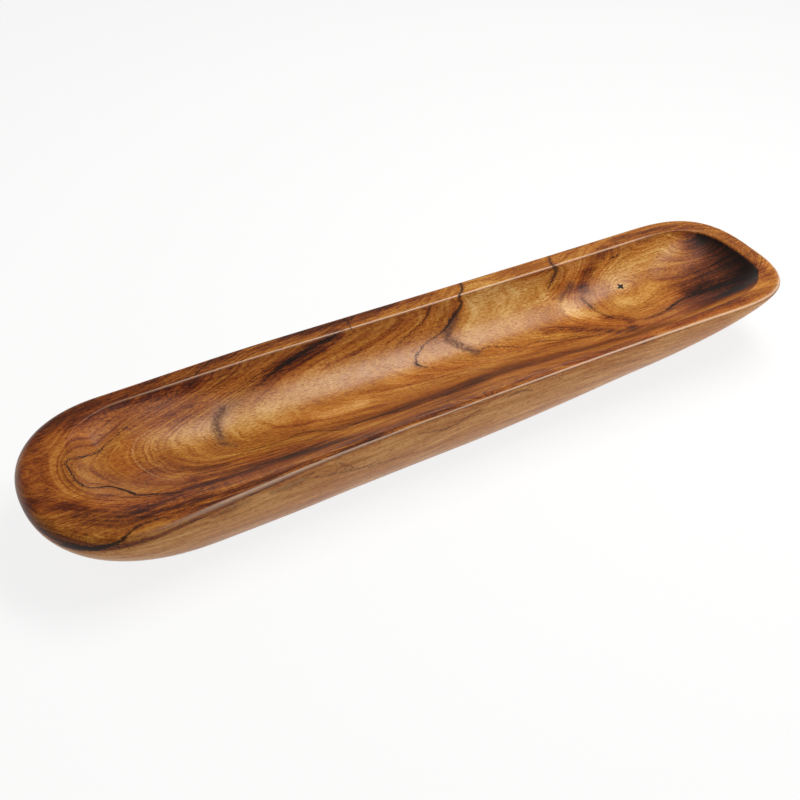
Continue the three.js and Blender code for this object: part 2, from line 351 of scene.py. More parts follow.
    # steep wall of the hollow
    leanSine = node(calc, "SINE", given["Wall lean"])
    leanCosine = node(calc, "COSINE", given["Wall lean"])
    wallAngle = node(mapRange, None, along, 0.0, 1.0, given["Wall lean"], quarter)
    wallGain = node(calc, "SUBTRACT", leanCosine, node(calc, "COSINE", wallAngle))
    wallIn = node(calc, "DIVIDE", wallGain, leanCosine)
    wallFall = node(calc, "SUBTRACT", node(calc, "SINE", wallAngle), leanSine)
    wallDown = node(calc, "DIVIDE", wallFall, node(calc, "SUBTRACT", 1.0, leanSine))

    # soft S: upper bend, straight slope and lower bend
    bendEnd = node(calc, "ADD", given["Mouth end"], given["Near bend length"])
    topBend = node(
        mapRange, smooth, mouthX, given["Mouth end"], bendEnd,
        given["Near top bend"], given["Soft top bend"])
    lowBend = given["Soft low bend"]
    upper = node(calc, "MINIMUM", along, topBend)
    upperSquare = node(calc, "MULTIPLY", upper, upper)
    upperFall = node(calc, "DIVIDE", upperSquare, node(calc, "MULTIPLY", topBend, 2.0))
    slopeEnd = node(calc, "SUBTRACT", 1.0, lowBend)
    slopeReach = node(calc, "MINIMUM", along, slopeEnd)
    slopeFall = node(calc, "MAXIMUM", node(calc, "SUBTRACT", slopeReach, topBend), 0.0)
    lower = node(calc, "MAXIMUM", node(calc, "SUBTRACT", along, slopeEnd), 0.0)
    lowerSquare = node(calc, "MULTIPLY", lower, lower)
    lowerLoss = node(calc, "DIVIDE", lowerSquare, node(calc, "MULTIPLY", lowBend, 2.0))
    lowerFall = node(calc, "SUBTRACT", lower, lowerLoss)
    softTotal = node(calc, "ADD", node(calc, "ADD", upperFall, slopeFall), lowerFall)
    bends = node(calc, "MULTIPLY", node(calc, "ADD", topBend, lowBend), 0.5)
    softDown = node(calc, "DIVIDE", softTotal, node(calc, "SUBTRACT", 1.0, bends))

    hollowIn = node(mix, None, soft, wallIn, along)
    hollowDown = node(mix, None, soft, wallDown, softDown)
    hollowPlan = node(mix, vecMix, hollowIn, mouth, keel)
    hollowZ = node(mix, None, hollowDown, node(calc, "SUBTRACT", top, edgeDrop), bottom)

    places = [(flankPlan, flankZ)]
    for inset, z in ((rollIn, rollZ), (lipIn, top), (edgeIn, edgeZ)):
        places.append((node(mix, vecMix, node(calc, "DIVIDE", inset, lipWidth), rim, mouth), z))
    places.append((hollowPlan, hollowZ))
    raised = [footPlace]
    for plan, z in places:
        raised.append(node(vecCalc, "ADD", plan, node("ShaderNodeCombineXYZ", None, 0.0, 0.0, z)))
    chosen = tree.nodes.new("GeometryNodeIndexSwitch")
    chosen.data_type = "VECTOR"
    while len(chosen.index_switch_items) < len(raised):
        chosen.index_switch_items.new()
    for source, socket in zip([net["stretch"], *raised], chosen.inputs):
        tree.links.new(source, socket)
    lofted = node("GeometryNodeSetPosition", None, Geometry=given["Net"], Position=chosen.outputs[0])
    welded = node("GeometryNodeMergeByDistance", None, Geometry=lofted, Distance=given["Weld"])

    # the scraper leaves slow waves in the flank and the hollow, none on the foot or the lip
    waveScale = node(calc, "DIVIDE", 1.0, given["Tool wave length"])
    wave = node(noise, None, Scale=waveScale, Detail=1.0)
    waveSpan = node(calc, "MULTIPLY", given["Tool wave"], 2.0)
    waveHeight = node(calc, "MULTIPLY", node(calc, "SUBTRACT", wave, 0.5), waveSpan)
    placeZ = node("ShaderNodeSeparateXYZ", None, node("GeometryNodeInputPosition")).node.outputs["Z"]
    underLip = node(calc, "SUBTRACT", top, placeZ)
    for depth in (underLip, placeZ):
        calm = node(mapRange, smooth, depth, given["Calm from"], given["Calm to"], 0.0, 1.0)
        waveHeight = node(calc, "MULTIPLY", waveHeight, calm)
    offset = node(vecCalc, "SCALE", Vector=node("GeometryNodeInputNormal"), Scale=waveHeight)
    scraped = node("GeometryNodeSetPosition", None, Geometry=welded, Offset=offset)
    shaded = node("GeometryNodeSetShadeSmooth", None, Geometry=scraped)
    realized = node("GeometryNodeRealizeInstances", None, Geometry=shaded)
    finished = node("GeometryNodeSetMaterial", None, Geometry=realized, Material=given["Material"])
    node("NodeGroupOutput", None, finished)
    return tree


def loftedBowl(material):
    piece = bpy.data.objects.new("bowl_teak", bowlNet())
    scene.collection.objects.link(piece)
    tree = bowlLoft()
    inputs = {
        "Near end": nearEnd * mm, "Far end": farEnd * mm, "Height": bowlHeight * mm,
        "Mouth end": (nearEnd + bowl["nearLip"]) * mm,
        "Keel end": (nearEnd + bowl["keelNearSetback"]) * mm,
        "Keel far end": (farEnd - bowl["keelFarSetback"]) * mm,
        "Material": material, **loftSizes,
    }
    modifier = piece.modifiers.new("bowlLoft", "NODES")
    modifier.node_group = tree
    for item in tree.interface.items_tree:
        if item.in_out == "INPUT" and item.name in inputs:
            modifier[item.identifier] = inputs[item.name]
    depsgraph = bpy.context.evaluated_depsgraph_get()
    plain = bpy.data.meshes.new_from_object(
        piece.evaluated_get(depsgraph), preserve_all_data_layers=True, depsgraph=depsgraph)
    piece.modifiers.clear()
    piece.data = plain
    for name in planNames:
        plain.attributes.remove(plain.attributes[name])
    print("bowl lofted,", len(plain.polygons), "faces")
    return piece


# Dark fills of wood dust and resin in the knot's heart and the open check. Pixels place them, and the
# rest is in millimetres.
knotFill = {
    "centre": (620.5, 286.5), "radius": 2.6, "lobe": 0.8, "lobes": 4, "turn": 0.3,
    "proud": 0.12, "tuck": 0.03, "depth": 5.0, "dropFrom": 5, "rings": 6, "around": 48,
}
checkFill = {
    "route": [(98, 487.5), (110, 486.5), (119, 488.5), (127, 491), (138, 495)],
    "widths": (0.4, 1.7, 2.5, 1.3, 2.7, 1.6, 2.6, 0.5),
    "proud": 0.12, "tuck": 0.03, "depth": 3.4, "dropFrom": 5, "rows": 8,
}

# Dark veins, traced over the photograph: the route in image pixels, which lies on the bowl where
# the camera sees it, the widths in millimetres at even steps along it, and the strength. A strength
# below zero makes a pale line.
veins = {
    "nearArm": (
        [(190, 381), (165, 402), (138, 418), (118, 434), (104, 447)],
        (0.8, 0.5, 0.4, 0.5, 0.7), 0.75),
    "nearLoop": (
        [(108, 443), (97, 453), (87, 456), (74, 458), (66, 462), (69, 469), (78, 482), (91, 488),
         (110, 486.5), (126, 490.5), (137, 495), (155, 494), (182, 492)],
        (0.6, 1.0, 0.9, 1.3, 1.2, 1.1, 1.5, 1.8, 1.2, 0.6), 1.0),
    # its wide dark start at the near corner is partly painted shade of the rounded rim
    "rimVein": (
        [(52, 541), (64, 546), (90, 549), (110, 545), (121, 541), (133, 530), (145, 523), (158, 519),
         (172, 517)],
        (1.2, 3.2, 4.0, 3.4, 2.6, 1.5, 1.2, 1.0, 0.4), 0.9),
    "backGate": (
        [(461, 284), (462, 290), (459, 296), (461, 304), (458, 310), (451, 320), (446, 328), (435, 337),
         (424, 345), (416, 356)],
        (2.4, 2.4, 3.4, 2.8, 1.2, 0.8, 0.9, 0.8), 0.85),
    "backThin": (
        [(430, 307), (427, 316), (416, 328), (405, 338), (397, 346)],
        (1.3, 1.0, 0.7, 0.6, 0.4), 0.8),
    "shortMark": (
        [(549, 257), (551, 263), (556, 269), (555, 274), (551, 282), (548, 289)],
        (1.5, 2.8, 4.4, 3.4, 2.0, 0.8), 0.75),
    "midLine": (
        [(478, 352), (490, 346.5), (520, 347), (530, 344), (542, 341), (560, 340), (575, 336),
         (585, 337), (612, 332)],
        (0.4, 0.8, 0.8, 0.9, 0.7, 0.5), 0.8),
    "kneeLine": ([(582, 299), (590, 306), (597, 311.5), (612, 317.5)], (0.6, 1.4, 1.5, 0.6), 0.7),
    "heartEdge": (
        [(562, 297), (560, 307), (566, 317), (580, 323), (602, 325)],
        (0.4, 0.7, 0.8, 0.8, 0.4), 0.4),
    "farVein": (
        [(757, 272), (740, 278), (724, 285), (702, 292), (681, 300), (665, 311), (646, 318.5)],
        (4.0, 4.5, 4.0, 3.2, 2.4, 1.6, 0.7), 1.0),
    "lipFlaw": ([(611, 258.7), (614, 257), (617.5, 255.3)], (0.5, 1.3, 0.5), 1.0),
    "lipLine": ([(213, 358), (204, 366), (195, 375)], (1.3, 1.1, 0.8), 1.0),
    "lipSpot": ([(353, 317), (348, 322), (351, 329)], (1.0, 1.8, 0.6), 0.7),
    "floorTick": ([(416, 358), (417, 364), (426, 367.5)], (0.9, 2.0, 0.6), 1.0),
    "streakLow": ([(262, 381), (275, 371), (290, 361.5), (305, 353)], (0.5, 1.3, 2.0, 1.2), 0.7),
    "streakHigh": ([(292, 358), (308, 349), (324, 341), (342, 331)], (0.8, 2.4, 2.8, 0.8), 0.75),
    "frontWave": (
        [(155, 459), (166, 464.5), (185, 467), (203, 465.5), (225, 460), (245, 452.5), (265, 446),
         (285, 440), (303, 432.5), (325, 430.5), (342, 429.5), (360, 422.5), (380, 416), (400, 411),
         (420, 405)],
        (0.5, 1.0, 1.1, 1.2, 1.4, 1.6, 1.8, 1.6, 2.0, 1.6), 0.6),
    "frontStreak": (
        [(197, 491), (225, 475), (252, 466), (280, 457.5), (310, 450), (330, 444), (350, 438)],
        (0.8, 1.6, 2.2, 2.4, 3.0, 2.0, 0.6), 0.3),
    "frontDark": ([(418, 401), (432, 398), (446, 395), (458, 391)], (1.5, 4.0, 4.4, 1.5), 0.2),
    "frontFar": ([(473, 370), (500, 368), (532, 363)], (1.5, 3.5, 1.5), 0.35),
    "frontTwin": ([(538, 366), (556, 363), (577, 358)], (1.4, 3.0, 1.4), 0.35),
    # painted shadow: a dark line inside the front edge, drawn as a vein
    "lipShadow": ([(140, 517.5), (165, 510), (190, 505), (222, 493)], (1.0, 1.6, 1.6, 0.6), 0.4),
    "flankFlame": ([(272, 492.5), (297, 482.5), (312, 474)], (2.5, 7.0, 2.0), 0.32),
    "flankLine": (
        [(315, 477.5), (340, 472.5), (365, 467.5), (390, 460), (415, 450)],
        (0.9, 1.5, 1.5, 1.2, 0.8), 0.5),
    "flankCurl": ([(340, 463), (360, 468), (378, 460)], (0.8, 1.5, 0.8), 0.45),
    "flankNear": ([(215, 517), (232, 508), (250, 500)], (2.5, 7.0, 2.5), 0.3),
    "flankWave": ([(420, 433.5), (448, 428), (468, 417), (487, 405)], (0.9, 1.6, 1.6, 0.8), 0.5),
    "flankTick": ([(507, 397), (520, 391), (531, 390)], (0.9, 2.2, 1.2), 0.55),
    "flankFar": (
        [(556, 376), (570, 381), (596, 372), (625, 362), (650, 358)],
        (0.6, 1.2, 1.0, 1.2, 0.6), 0.3),
    "noseArc": (
        [(150, 430), (140, 437), (134, 444), (133, 452), (135, 460), (146, 471), (165, 479), (182, 480)],
        (0.4, 0.7, 0.8, 0.8, 0.8, 0.7, 0.4), -0.55),
    "noseArcInner": (
        [(166, 432), (155, 439), (148, 446), (147, 453), (152, 461), (164, 468)],
        (0.4, 0.6, 0.7, 0.6, 0.4), -0.35),
}

# Soft patches that are darker or paler than the wood around them: route in image pixels, reach in
# millimetres, and the change of tone, which may differ along the route.
patches = {
    # partly painted shade under the rounded near rim
    "nearLipLow": ([(40, 530), (75, 546)], 6.0, -0.10),
    "insideLoop": ([(80, 466), (96, 474), (114, 483)], 6.0, (-0.13, -0.12, -0.10)),
    "noseBack": ([(150, 425), (175, 418), (207, 407)], 9.0, (-0.05, -0.12, -0.06)),
    "noseGold": ([(160, 441), (188, 437), (204, 430)], 12.0, 0.13),
    "floorNear": ([(232, 425), (268, 411)], 9.0, 0.12),
    "floorLow": ([(245, 432), (270, 425), (298, 416)], 8.0, 0.09),
    # partly painted sheen along the line of the sheen on the floor, partly paler wood
    "floorBack": ([(285, 385), (300, 375), (330, 362)], 8.0, (0.05, 0.10, 0.05)),
    "floorMiddle": ([(394, 378), (435, 358), (465, 350)], 8.0, 0.10),
    "floorPale": ([(240, 418), (300, 394), (350, 374), (400, 355)], 13.0, (0.05, 0.14, 0.09, 0.10)),
    "floorYellow": ([(322, 416), (360, 405)], 8.0, 0.18),
    "floorGold": ([(234, 410), (258, 403), (296, 404)], 6.0, (0.04, -0.04, 0.04)),
    # partly painted sheen along the line of the sheen on the floor, partly paler wood
    "floorFar": ([(475, 335), (505, 324), (545, 312)], 13.0, (0.10, 0.09, 0.04)),
    "wallGold": ([(474, 302), (492, 290), (503, 308)], 10.0, (0.20, 0.18, 0.16)),
    "wallGoldLow": ([(468, 326), (482, 316)], 7.0, 0.10),
    "wallGoldFloor": ([(528, 304), (548, 298)], 6.0, 0.10),
    "wallGoldFar": ([(512, 292), (534, 284), (545, 296)], 7.0, 0.10),
    "wallGoldHigh": ([(562, 266), (576, 264), (592, 261)], 5.0, (0.16, 0.13, 0.08)),
    "wallWarm": ([(420, 318), (436, 318), (570, 275)], 6.0, (0.06, 0.0, 0.10)),
    "paleHeart": ([(565, 305), (575, 313), (596, 316)], 8.0, (0.22, 0.28, 0.14)),
    "knotGold": ([(610, 275), (640, 262), (672, 243)], 9.0, (0.15, 0.15, 0.12)),
    "knotLow": ([(622, 302), (640, 298), (650, 288)], 8.0, (0.19, 0.13, 0.12)),
    "nearBack": ([(84, 434), (97, 427)], 8.0, 0.06),
    # partly a painted highlight where the near lip turns down into the hollow, partly paler wood
    "ringNear": ([(60, 447), (54, 468), (62, 487), (90, 500)], 5.0, 0.08),
    "lipGold": ([(475, 285), (500, 276), (540, 263), (602, 246)], 6.0, (0.0, -0.16, 0.04, 0.0)),
    "farLip": ([(725, 238), (745, 254), (768, 276)], 6.0, (-0.06, -0.08, -0.14)),
    "nearLipDark": ([(28, 446), (45, 429), (75, 410), (110, 394)], 8.0, (-0.12, -0.18, -0.16, -0.10)),
    "nearLipSide": ([(27, 452), (21, 476), (30, 503)], 7.0, -0.12),
    "nearLipTurn": ([(34, 503), (62, 507), (105, 513), (150, 508)], 7.0, (-0.12, -0.15, -0.12, -0.08)),
    "nearLipMiddle": ([(38, 443), (44, 468), (48, 492)], 6.5, (-0.06, -0.08, -0.14)),
    "nearLipFace": ([(80, 525), (110, 524), (150, 516), (190, 504)], 7.0, (-0.10, -0.18, -0.15, -0.06)),
    "knotDisc": ([(616, 287), (626, 286)], 4.5, 0.15),
    # partly painted shade on the front slope and the front lip, partly darker wood
    "frontInner": ([(500, 365), (525, 356), (550, 347), (588, 337)], 6.0, (-0.05, -0.08, -0.15, -0.07)),
    "frontGoldNear": ([(345, 432), (372, 424)], 6.0, 0.08),
    "frontEdge": ([(370, 431), (430, 408), (490, 384), (540, 371)], 6.0, (-0.02, -0.10, -0.16, -0.12)),
    "frontLipFar": ([(565, 364), (614, 348), (650, 337)], 5.0, -0.15),
    "frontLipNear": ([(195, 513), (217, 503), (240, 490)], 6.0, (-0.08, -0.12, -0.10)),
    "noseTip": ([(119, 446), (130, 456)], 5.0, 0.08),
    "flankGold": ([(362, 447), (388, 439)], 4.5, 0.09),
    "noseFront": ([(138, 481), (165, 484), (192, 482)], 6.0, -0.10),
    "gateGold": ([(446, 304), (452, 298)], 5.0, 0.12),
    # partly painted shade along the far front edge and the front slope, partly darker wood
    "farFrontEdge": ([(688, 312), (715, 300), (738, 289)], 6.0, (-0.12, -0.26, -0.28)),
    "frontFarBrown": ([(510, 366), (560, 354), (600, 344), (660, 325)], 8.0, (-0.06, -0.16, -0.16, -0.10)),
    "frontNearBrown": ([(200, 476), (245, 463), (300, 449), (340, 440)], 8.0, -0.08),
    "frontBrown": ([(395, 412), (430, 396), (480, 377), (530, 362)], 9.0, (-0.04, -0.13, -0.11, -0.04)),
    "flankNear": ([(105, 553), (150, 540), (205, 523)], 7.0, (0.02, 0.03, 0.04)),
    "farFrontLip": ([(570, 352), (600, 345), (690, 318), (740, 300)], 6.0, (-0.09, -0.17, -0.16, -0.12)),
}

# The same, kept inside the hollow: the dark far end is partly dark wood and partly painted shade on the
# steep far wall, and the band on the far front wall is a painted shadow under the front lip.
hollowPatches = {
    "farWall": ([(700, 241), (730, 254), (752, 273)], 14.0, (-0.37, -0.31, -0.29)),
    "farCorner": ([(703, 233), (724, 241), (748, 262)], 7.0, (-0.28, -0.22, -0.18)),
    "farSide": ([(672, 278), (694, 270), (716, 261)], 9.0, (-0.10, -0.20, -0.16)),
    "farFloor": ([(686, 289), (704, 281), (724, 270)], 12.0, (-0.20, -0.29, -0.22)),
    "farFrontWall": ([(668, 313), (700, 300), (730, 289), (752, 280)], 11.0, (-0.04, -0.26, -0.36, -0.34)),
}

# Dark bands that break up into fibres along the grain, given in the same way.
fibreBands = {
    "wallStreak": ([(258, 382), (290, 361), (336, 334)], 5.0, (-0.12, -0.30, -0.24)),
    "wallStreakTwin": ([(270, 378), (290, 369), (325, 350)], 2.0, -0.16),
    # the front bands are partly painted shade of the front slope, partly dark streaks of the wood
    "frontLow": ([(140, 508), (190, 491), (260, 466), (320, 448), (375, 433)], 8.0,
                 (-0.12, -0.24, -0.34, -0.36, -0.10)),
    "frontHigh": ([(330, 431), (365, 420), (400, 409), (440, 396), (480, 380), (520, 367), (560, 357)], 8.0,
                  (-0.06, -0.16, -0.26, -0.34, -0.32, -0.22, -0.06)),
    "wallFanLow": ([(322, 370), (360, 347), (402, 321)], 1.3, -0.12),
    "wallFanHigh": ([(352, 356), (385, 336), (418, 314)], 1.3, -0.11),
    "wallFanNear": ([(290, 376), (330, 355), (372, 330)], 1.4, -0.12),
    "wallFanFar": ([(440, 322), (448, 312), (452, 300)], 1.6, -0.10),
    "lipStreak": ([(262, 349), (300, 336), (346, 320)], 2.0, -0.20),
    "lipStreakFar": ([(360, 317), (395, 305), (420, 297)], 1.6, -0.08),
    # partly painted shade along the front lip
    "frontLip": ([(180, 508), (316, 461), (420, 418), (500, 388), (560, 364)], 6.5,
                 (-0.14, -0.16, -0.12, -0.14, -0.06)),
    "noseLow": ([(150, 470), (200, 470), (260, 456), (320, 440)], 6.0, -0.12),
    "nearLipBack": ([(24, 445), (45, 427), (100, 399), (150, 382)], 8.0, (-0.06, -0.10, -0.14, -0.12)),
    "nearLipFront": ([(28, 500), (60, 506), (100, 513), (150, 510)], 8.0, -0.07),
    "lipBrown": ([(150, 381), (250, 348), (350, 317), (430, 293)], 6.0, (-0.14, -0.20, -0.24, -0.12)),
    "lipFar": ([(615, 241), (660, 229), (700, 228)], 5.0, (-0.20, -0.12, -0.10)),
    "farVeinBand": ([(755, 268), (724, 280), (690, 292)], 6.0, -0.20),
    "purpleLine": ([(545, 331), (565, 329), (590, 330), (618, 331)], 4.0, -0.18),
    "knotBand": ([(607, 249), (593, 264), (585, 278), (583, 288)], 5.0, (-0.20, -0.12, -0.22, -0.24)),
    "underKnot": ([(605, 317), (628, 319), (634, 330)], 4.0, -0.16),
    "nearWall": ([(72, 425), (100, 412), (160, 391), (240, 370)], 6.5, (-0.18, -0.18, -0.18, -0.02)),
}

# Places where the grain is faint.
quietBands = {
    "floor": ([(235, 425), (300, 396), (350, 377), (400, 358), (450, 342), (500, 327), (545, 315)],
              16.0, 1.0),
    "heart": ([(566, 306), (590, 312)], 8.0, 0.8),
    "knot": ([(603, 290), (625, 302), (648, 285), (630, 268)], 12.0, 1.0),
}

# Places where the oil has sunk in and left the wood dull.
dullBands = {
    "nearCorner": ([(78, 432), (114, 414)], 9.0, 1.0),
    "noseBack": ([(140, 424), (172, 416), (200, 408)], 11.0, 0.9),
    "farBend": ([(668, 270), (690, 248)], 11.0, 1.0),
    "frontSlope": ([(120, 505), (200, 483), (300, 448), (400, 410), (500, 374), (560, 354)], 13.0, 0.8),
}

# Curly figure, seen as bars across the grain.
curlBands = {
    "frontLip": ([(160, 505), (215, 488), (268, 468)], 8.0, 1.0),
    "frontMiddle": ([(400, 425), (450, 402)], 8.0, 0.7),
    "wallGold": ([(440, 305), (470, 296), (500, 296)], 10.0, 0.6),
    "nearWall": ([(110, 412), (170, 390)], 7.0, 0.6),
    "farFront": ([(520, 360), (590, 345)], 7.0, 0.7),
}

# Grey-violet mineral stain beside the veins: route, reach in millimetres, and strength.
stains = {
    "noseStain": ([(222, 410), (216, 419), (217, 429), (220, 437)], 3.6, 0.50),
    "noseHaze": ([(236, 404), (222, 414), (217, 430), (225, 441)], 6.5, 0.32),
    "noseTail": ([(219, 443), (236, 446)], 3.0, 0.45),
    "gateStain": ([(456, 316), (447, 335), (455, 343), (476, 352)], 4.5, 0.75),
    "tickStain": ([(415, 362), (419, 367)], 3.0, 0.50),
    "heartStain": ([(570, 284), (566, 291), (560, 298)], 4.5, 0.55),
    "heartHaze": ([(576, 289), (592, 292)], 5.5, 0.35),
    "kneeStain": ([(582, 299), (593, 308)], 3.5, 0.45),
}

# Lines of equal growth, which the fine grain follows: the level, and its route in image pixels.
growthLines = [
    (-0.5, [(100, 553), (150, 545), (250, 515), (350, 475), (450, 437)]),
    (0.5, [(17, 478), (30, 474), (44, 470)]),
    (0.2, [(22, 500), (45, 501), (80, 507), (140, 512)]),
    (-0.1, [(35, 522), (70, 529), (130, 525), (219, 506), (316, 466)]),
    (0.2, [(24, 450), (45, 435), (70, 415), (110, 395), (150, 377)]),
    (-0.1, [(45, 428), (75, 407), (130, 383)]),
    (1.0, [(212, 359), (181, 391), (138, 418), (104, 447), (74, 458), (66, 465), (84, 485), (110, 487),
           (137, 494), (200, 486), (260, 470), (340, 444), (420, 412), (500, 385)]),
    (0.6, [(160, 385), (112, 405), (80, 426), (62, 448), (56, 468), (62, 487), (84, 499), (120, 503),
           (190, 495), (260, 478)]),
    (1.5, [(250, 349), (200, 390), (150, 421), (115, 445), (104, 460), (112, 472), (135, 483), (175, 486)]),
    (2.5, [(320, 331), (290, 354), (240, 388), (190, 418), (170, 434), (165, 448), (178, 460), (210, 461),
           (260, 450), (320, 436), (400, 412)]),
    (3.35, [(385, 315), (350, 335), (300, 368), (268, 397), (262, 412), (280, 420), (330, 415), (380, 402),
            (440, 384)]),
    (3.7, [(405, 312), (385, 335), (345, 360), (328, 378), (335, 391), (370, 392), (420, 382), (480, 366)]),
    (5.25, [(505, 272), (500, 290), (485, 315), (475, 330), (483, 340), (510, 341), (560, 335)]),
    (5.75, [(566, 253), (565, 270), (557, 290), (540, 308), (535, 320), (545, 326), (580, 326)]),
    (2.0, [(288, 340), (272, 352), (220, 390), (150, 430), (134, 446), (140, 466), (165, 479), (200, 477),
           (270, 458), (340, 437), (420, 406), (500, 376), (590, 354)]),
    (3.0, [(350, 320), (325, 339), (265, 377), (222, 415), (217, 427), (235, 445), (300, 434), (370, 417),
           (440, 394), (520, 363), (600, 344)]),
    (4.0, [(430, 307), (422, 322), (399, 343), (390, 357), (403, 369), (450, 371), (520, 356), (600, 341)]),
    (5.0, [(461, 284), (459, 309), (447, 328), (448, 341), (470, 349), (520, 347), (575, 337), (620, 332)]),
    (5.5, [(549, 257), (556, 270), (549, 287), (517, 317), (511, 327), (530, 333), (590, 330)]),
    (6.0, [(583, 248), (577, 272), (563, 297), (563, 314), (590, 321), (640, 325)]),
    (7.0, [(607, 244), (593, 264), (584, 283), (590, 305), (615, 317), (655, 315), (690, 297), (757, 272)]),
    (8.0, [(665, 243), (625, 263), (605, 282), (612, 302), (635, 310), (670, 293), (745, 262)]),
    (8.4, [(645, 274), (690, 264), (730, 252)]),
    (7.2, [(640, 240), (672, 231), (705, 230)]),
    (1.5, [(500, 394), (560, 369)]),
    (3.0, [(660, 335), (719, 316), (770, 295)]),
]

# How the growth field is laid through those lines, and its levels where nothing was traced.
growthFit = {
    "lineStep": 7,  # millimetres between the points kept on each line
    "ease": 0.002,  # how far the field may leave the traced lines, in metres
    "heartLevel": 8.7,  # in the middle of the knot
    "unseenFrom": 60, "unseenStep": 90,  # millimetres along the bowl, for the unseen foot and back flank
    "footLevel": -3.0,
    "backLevel": -1.0, "backRun": 150,  # millimetres along the bowl to a level
    "backPlace": (0.85, 0.5),  # shares of the bowl's half width and height
}

# How the routes become marks on the bowl.
marking = {
    "routeStep": 1.5,  # image pixels between the points thrown on to the bowl
    "farAway": 9.0, "veinFade": (2.2, 5.0), "veinEnd": (0.8, 2.5),  # millimetres beside and past a vein
    "bandEdge": 2.4,  # reaches at which a band is cut off
    "endFacing": (0.25, 0.6),  # lean of the surface over which the grain comes to be seen end on
    "chunk": 4000,  # points compared at a time, to keep the memory small
}

# Edges worn pale and lit with a painted highlight, and an outer edge darkened by a painted dark reflection:
# stretch of the loft, middle and spread along it.
edgeWearAndLight = {
    "paleOuter": ("roll", 0.65, 0.28), "paleInner": ("edge", 0.5, 0.4), "paintedEdgeShade": ("roll", 0.12, 0.16),
}
edgeWearAndLightFade = {
    "near": (40, 140), "far": (40, 90),  # millimetres from the ends
    "flank": (0.75, 1.0),  # shares of the way up the flank
}


def onBowl(surface, route):
    # smooth curve through the traced pixels, thrown from the camera on to the bowl
    points = np.array(route, float)
    ends = np.vstack([2 * points[0] - points[1], points, 2 * points[-1] - points[-2]])
    line = []
    for a, b, c, d in zip(ends, ends[1:], ends[2:], ends[3:]):
        steps = max(2, int(np.hypot(*(c - b)) / marking["routeStep"]))
        for s in np.arange(steps) / steps:
            bend = 2 * a - 5 * b + 4 * c - d + s * (3 * b - a - 3 * c + d)
            line.append(b + 0.5 * s * (c - a + s * bend))
    line.append(points[-1])
    half = view["imagePixels"] / 2
    places, normals = [], []
    for x, y in line:
        across = viewRight * (x - half) + viewUp * (half - y)
        place, normal, face, distance = surface.ray_cast(viewPlace, across / view["focalPixels"] - viewBack)
        if place:
            places.append(place)
            normals.append(normal)
    return np.array(places), np.array(normals)


def alongLine(values, count):
    # the values spread evenly over the points of a line
    values = np.atleast_1d(values)
    return np.interp(np.linspace(0, 1, count), np.linspace(0, 1, len(values)), values)


def acrossLine(line, normals):
    # unit vectors on the surface, square to the line
    across = np.cross(normals, np.gradient(line, axis=0))
    return across / np.linalg.norm(across, axis=1)[:, None]


def nearLine(places, line, reach):
    # the points within reach of a line, the nearest place on it to each, and the distance
    inside = ((places > line.min(0) - reach) & (places < line.max(0) + reach)).all(1)
    index = np.flatnonzero(inside)
    nearest = np.zeros(len(index), int)
    distance = np.zeros(len(index))
    for start in range(0, len(index), marking["chunk"]):
        part = slice(start, start + marking["chunk"])
        gaps = np.linalg.norm(places[index[part], None] - line[None], axis=2)
        nearest[part] = gaps.argmin(1)
        distance[part] = gaps.min(1)
    close = distance < reach
    return index[close], nearest[close], distance[close]


def veinMarks(surface, places):
    # signed distance from the nearest vein and the vein's width there, in millimetres
    side = np.full(len(places), marking["farAway"])
    width = np.zeros(len(places))
    strength = np.zeros(len(places))
    fade = marking["veinFade"]
    for route, routeWidths, routeStrength in veins.values():
        line, normals = onBowl(surface, route)
        widths = alongLine(routeWidths, len(line))
        across = acrossLine(line, normals)
        index, nearest, distance = nearLine(places, line, (fade[1] + max(widths) / 2) * mm)
        offset = ((places[index] - line[nearest]) * across[nearest]).sum(1) / mm
        beyond = np.sqrt(np.maximum((distance / mm) ** 2 - offset ** 2, 0))
        here = widths[nearest] * (1 - smoothStep(np.abs(offset) - widths[nearest] / 2, *fade))
        here *= 1 - smoothStep(beyond, *marking["veinEnd"])
        wins = here - np.abs(offset) > width[index] - np.abs(side[index])
        side[index[wins]] = offset[wins]
        width[index[wins]] = here[wins]
        strength[index[wins]] = routeStrength
    return {"veinSide": side, "veinWidth": width, "veinStrength": strength}


def bandMarks(surface, places, bands):
    total = np.zeros(len(places))
    for route, reach, strength in bands.values():
        line, normals = onBowl(surface, route)
        index, nearest, distance = nearLine(places, line, reach * marking["bandEdge"] * mm)
        strengths = np.atleast_1d(strength)
        here = np.interp(nearest / len(line), np.linspace(0, 1, len(strengths)), strengths)
        total[index] += here * np.exp(-(distance / (reach * mm)) ** 2)
    return total


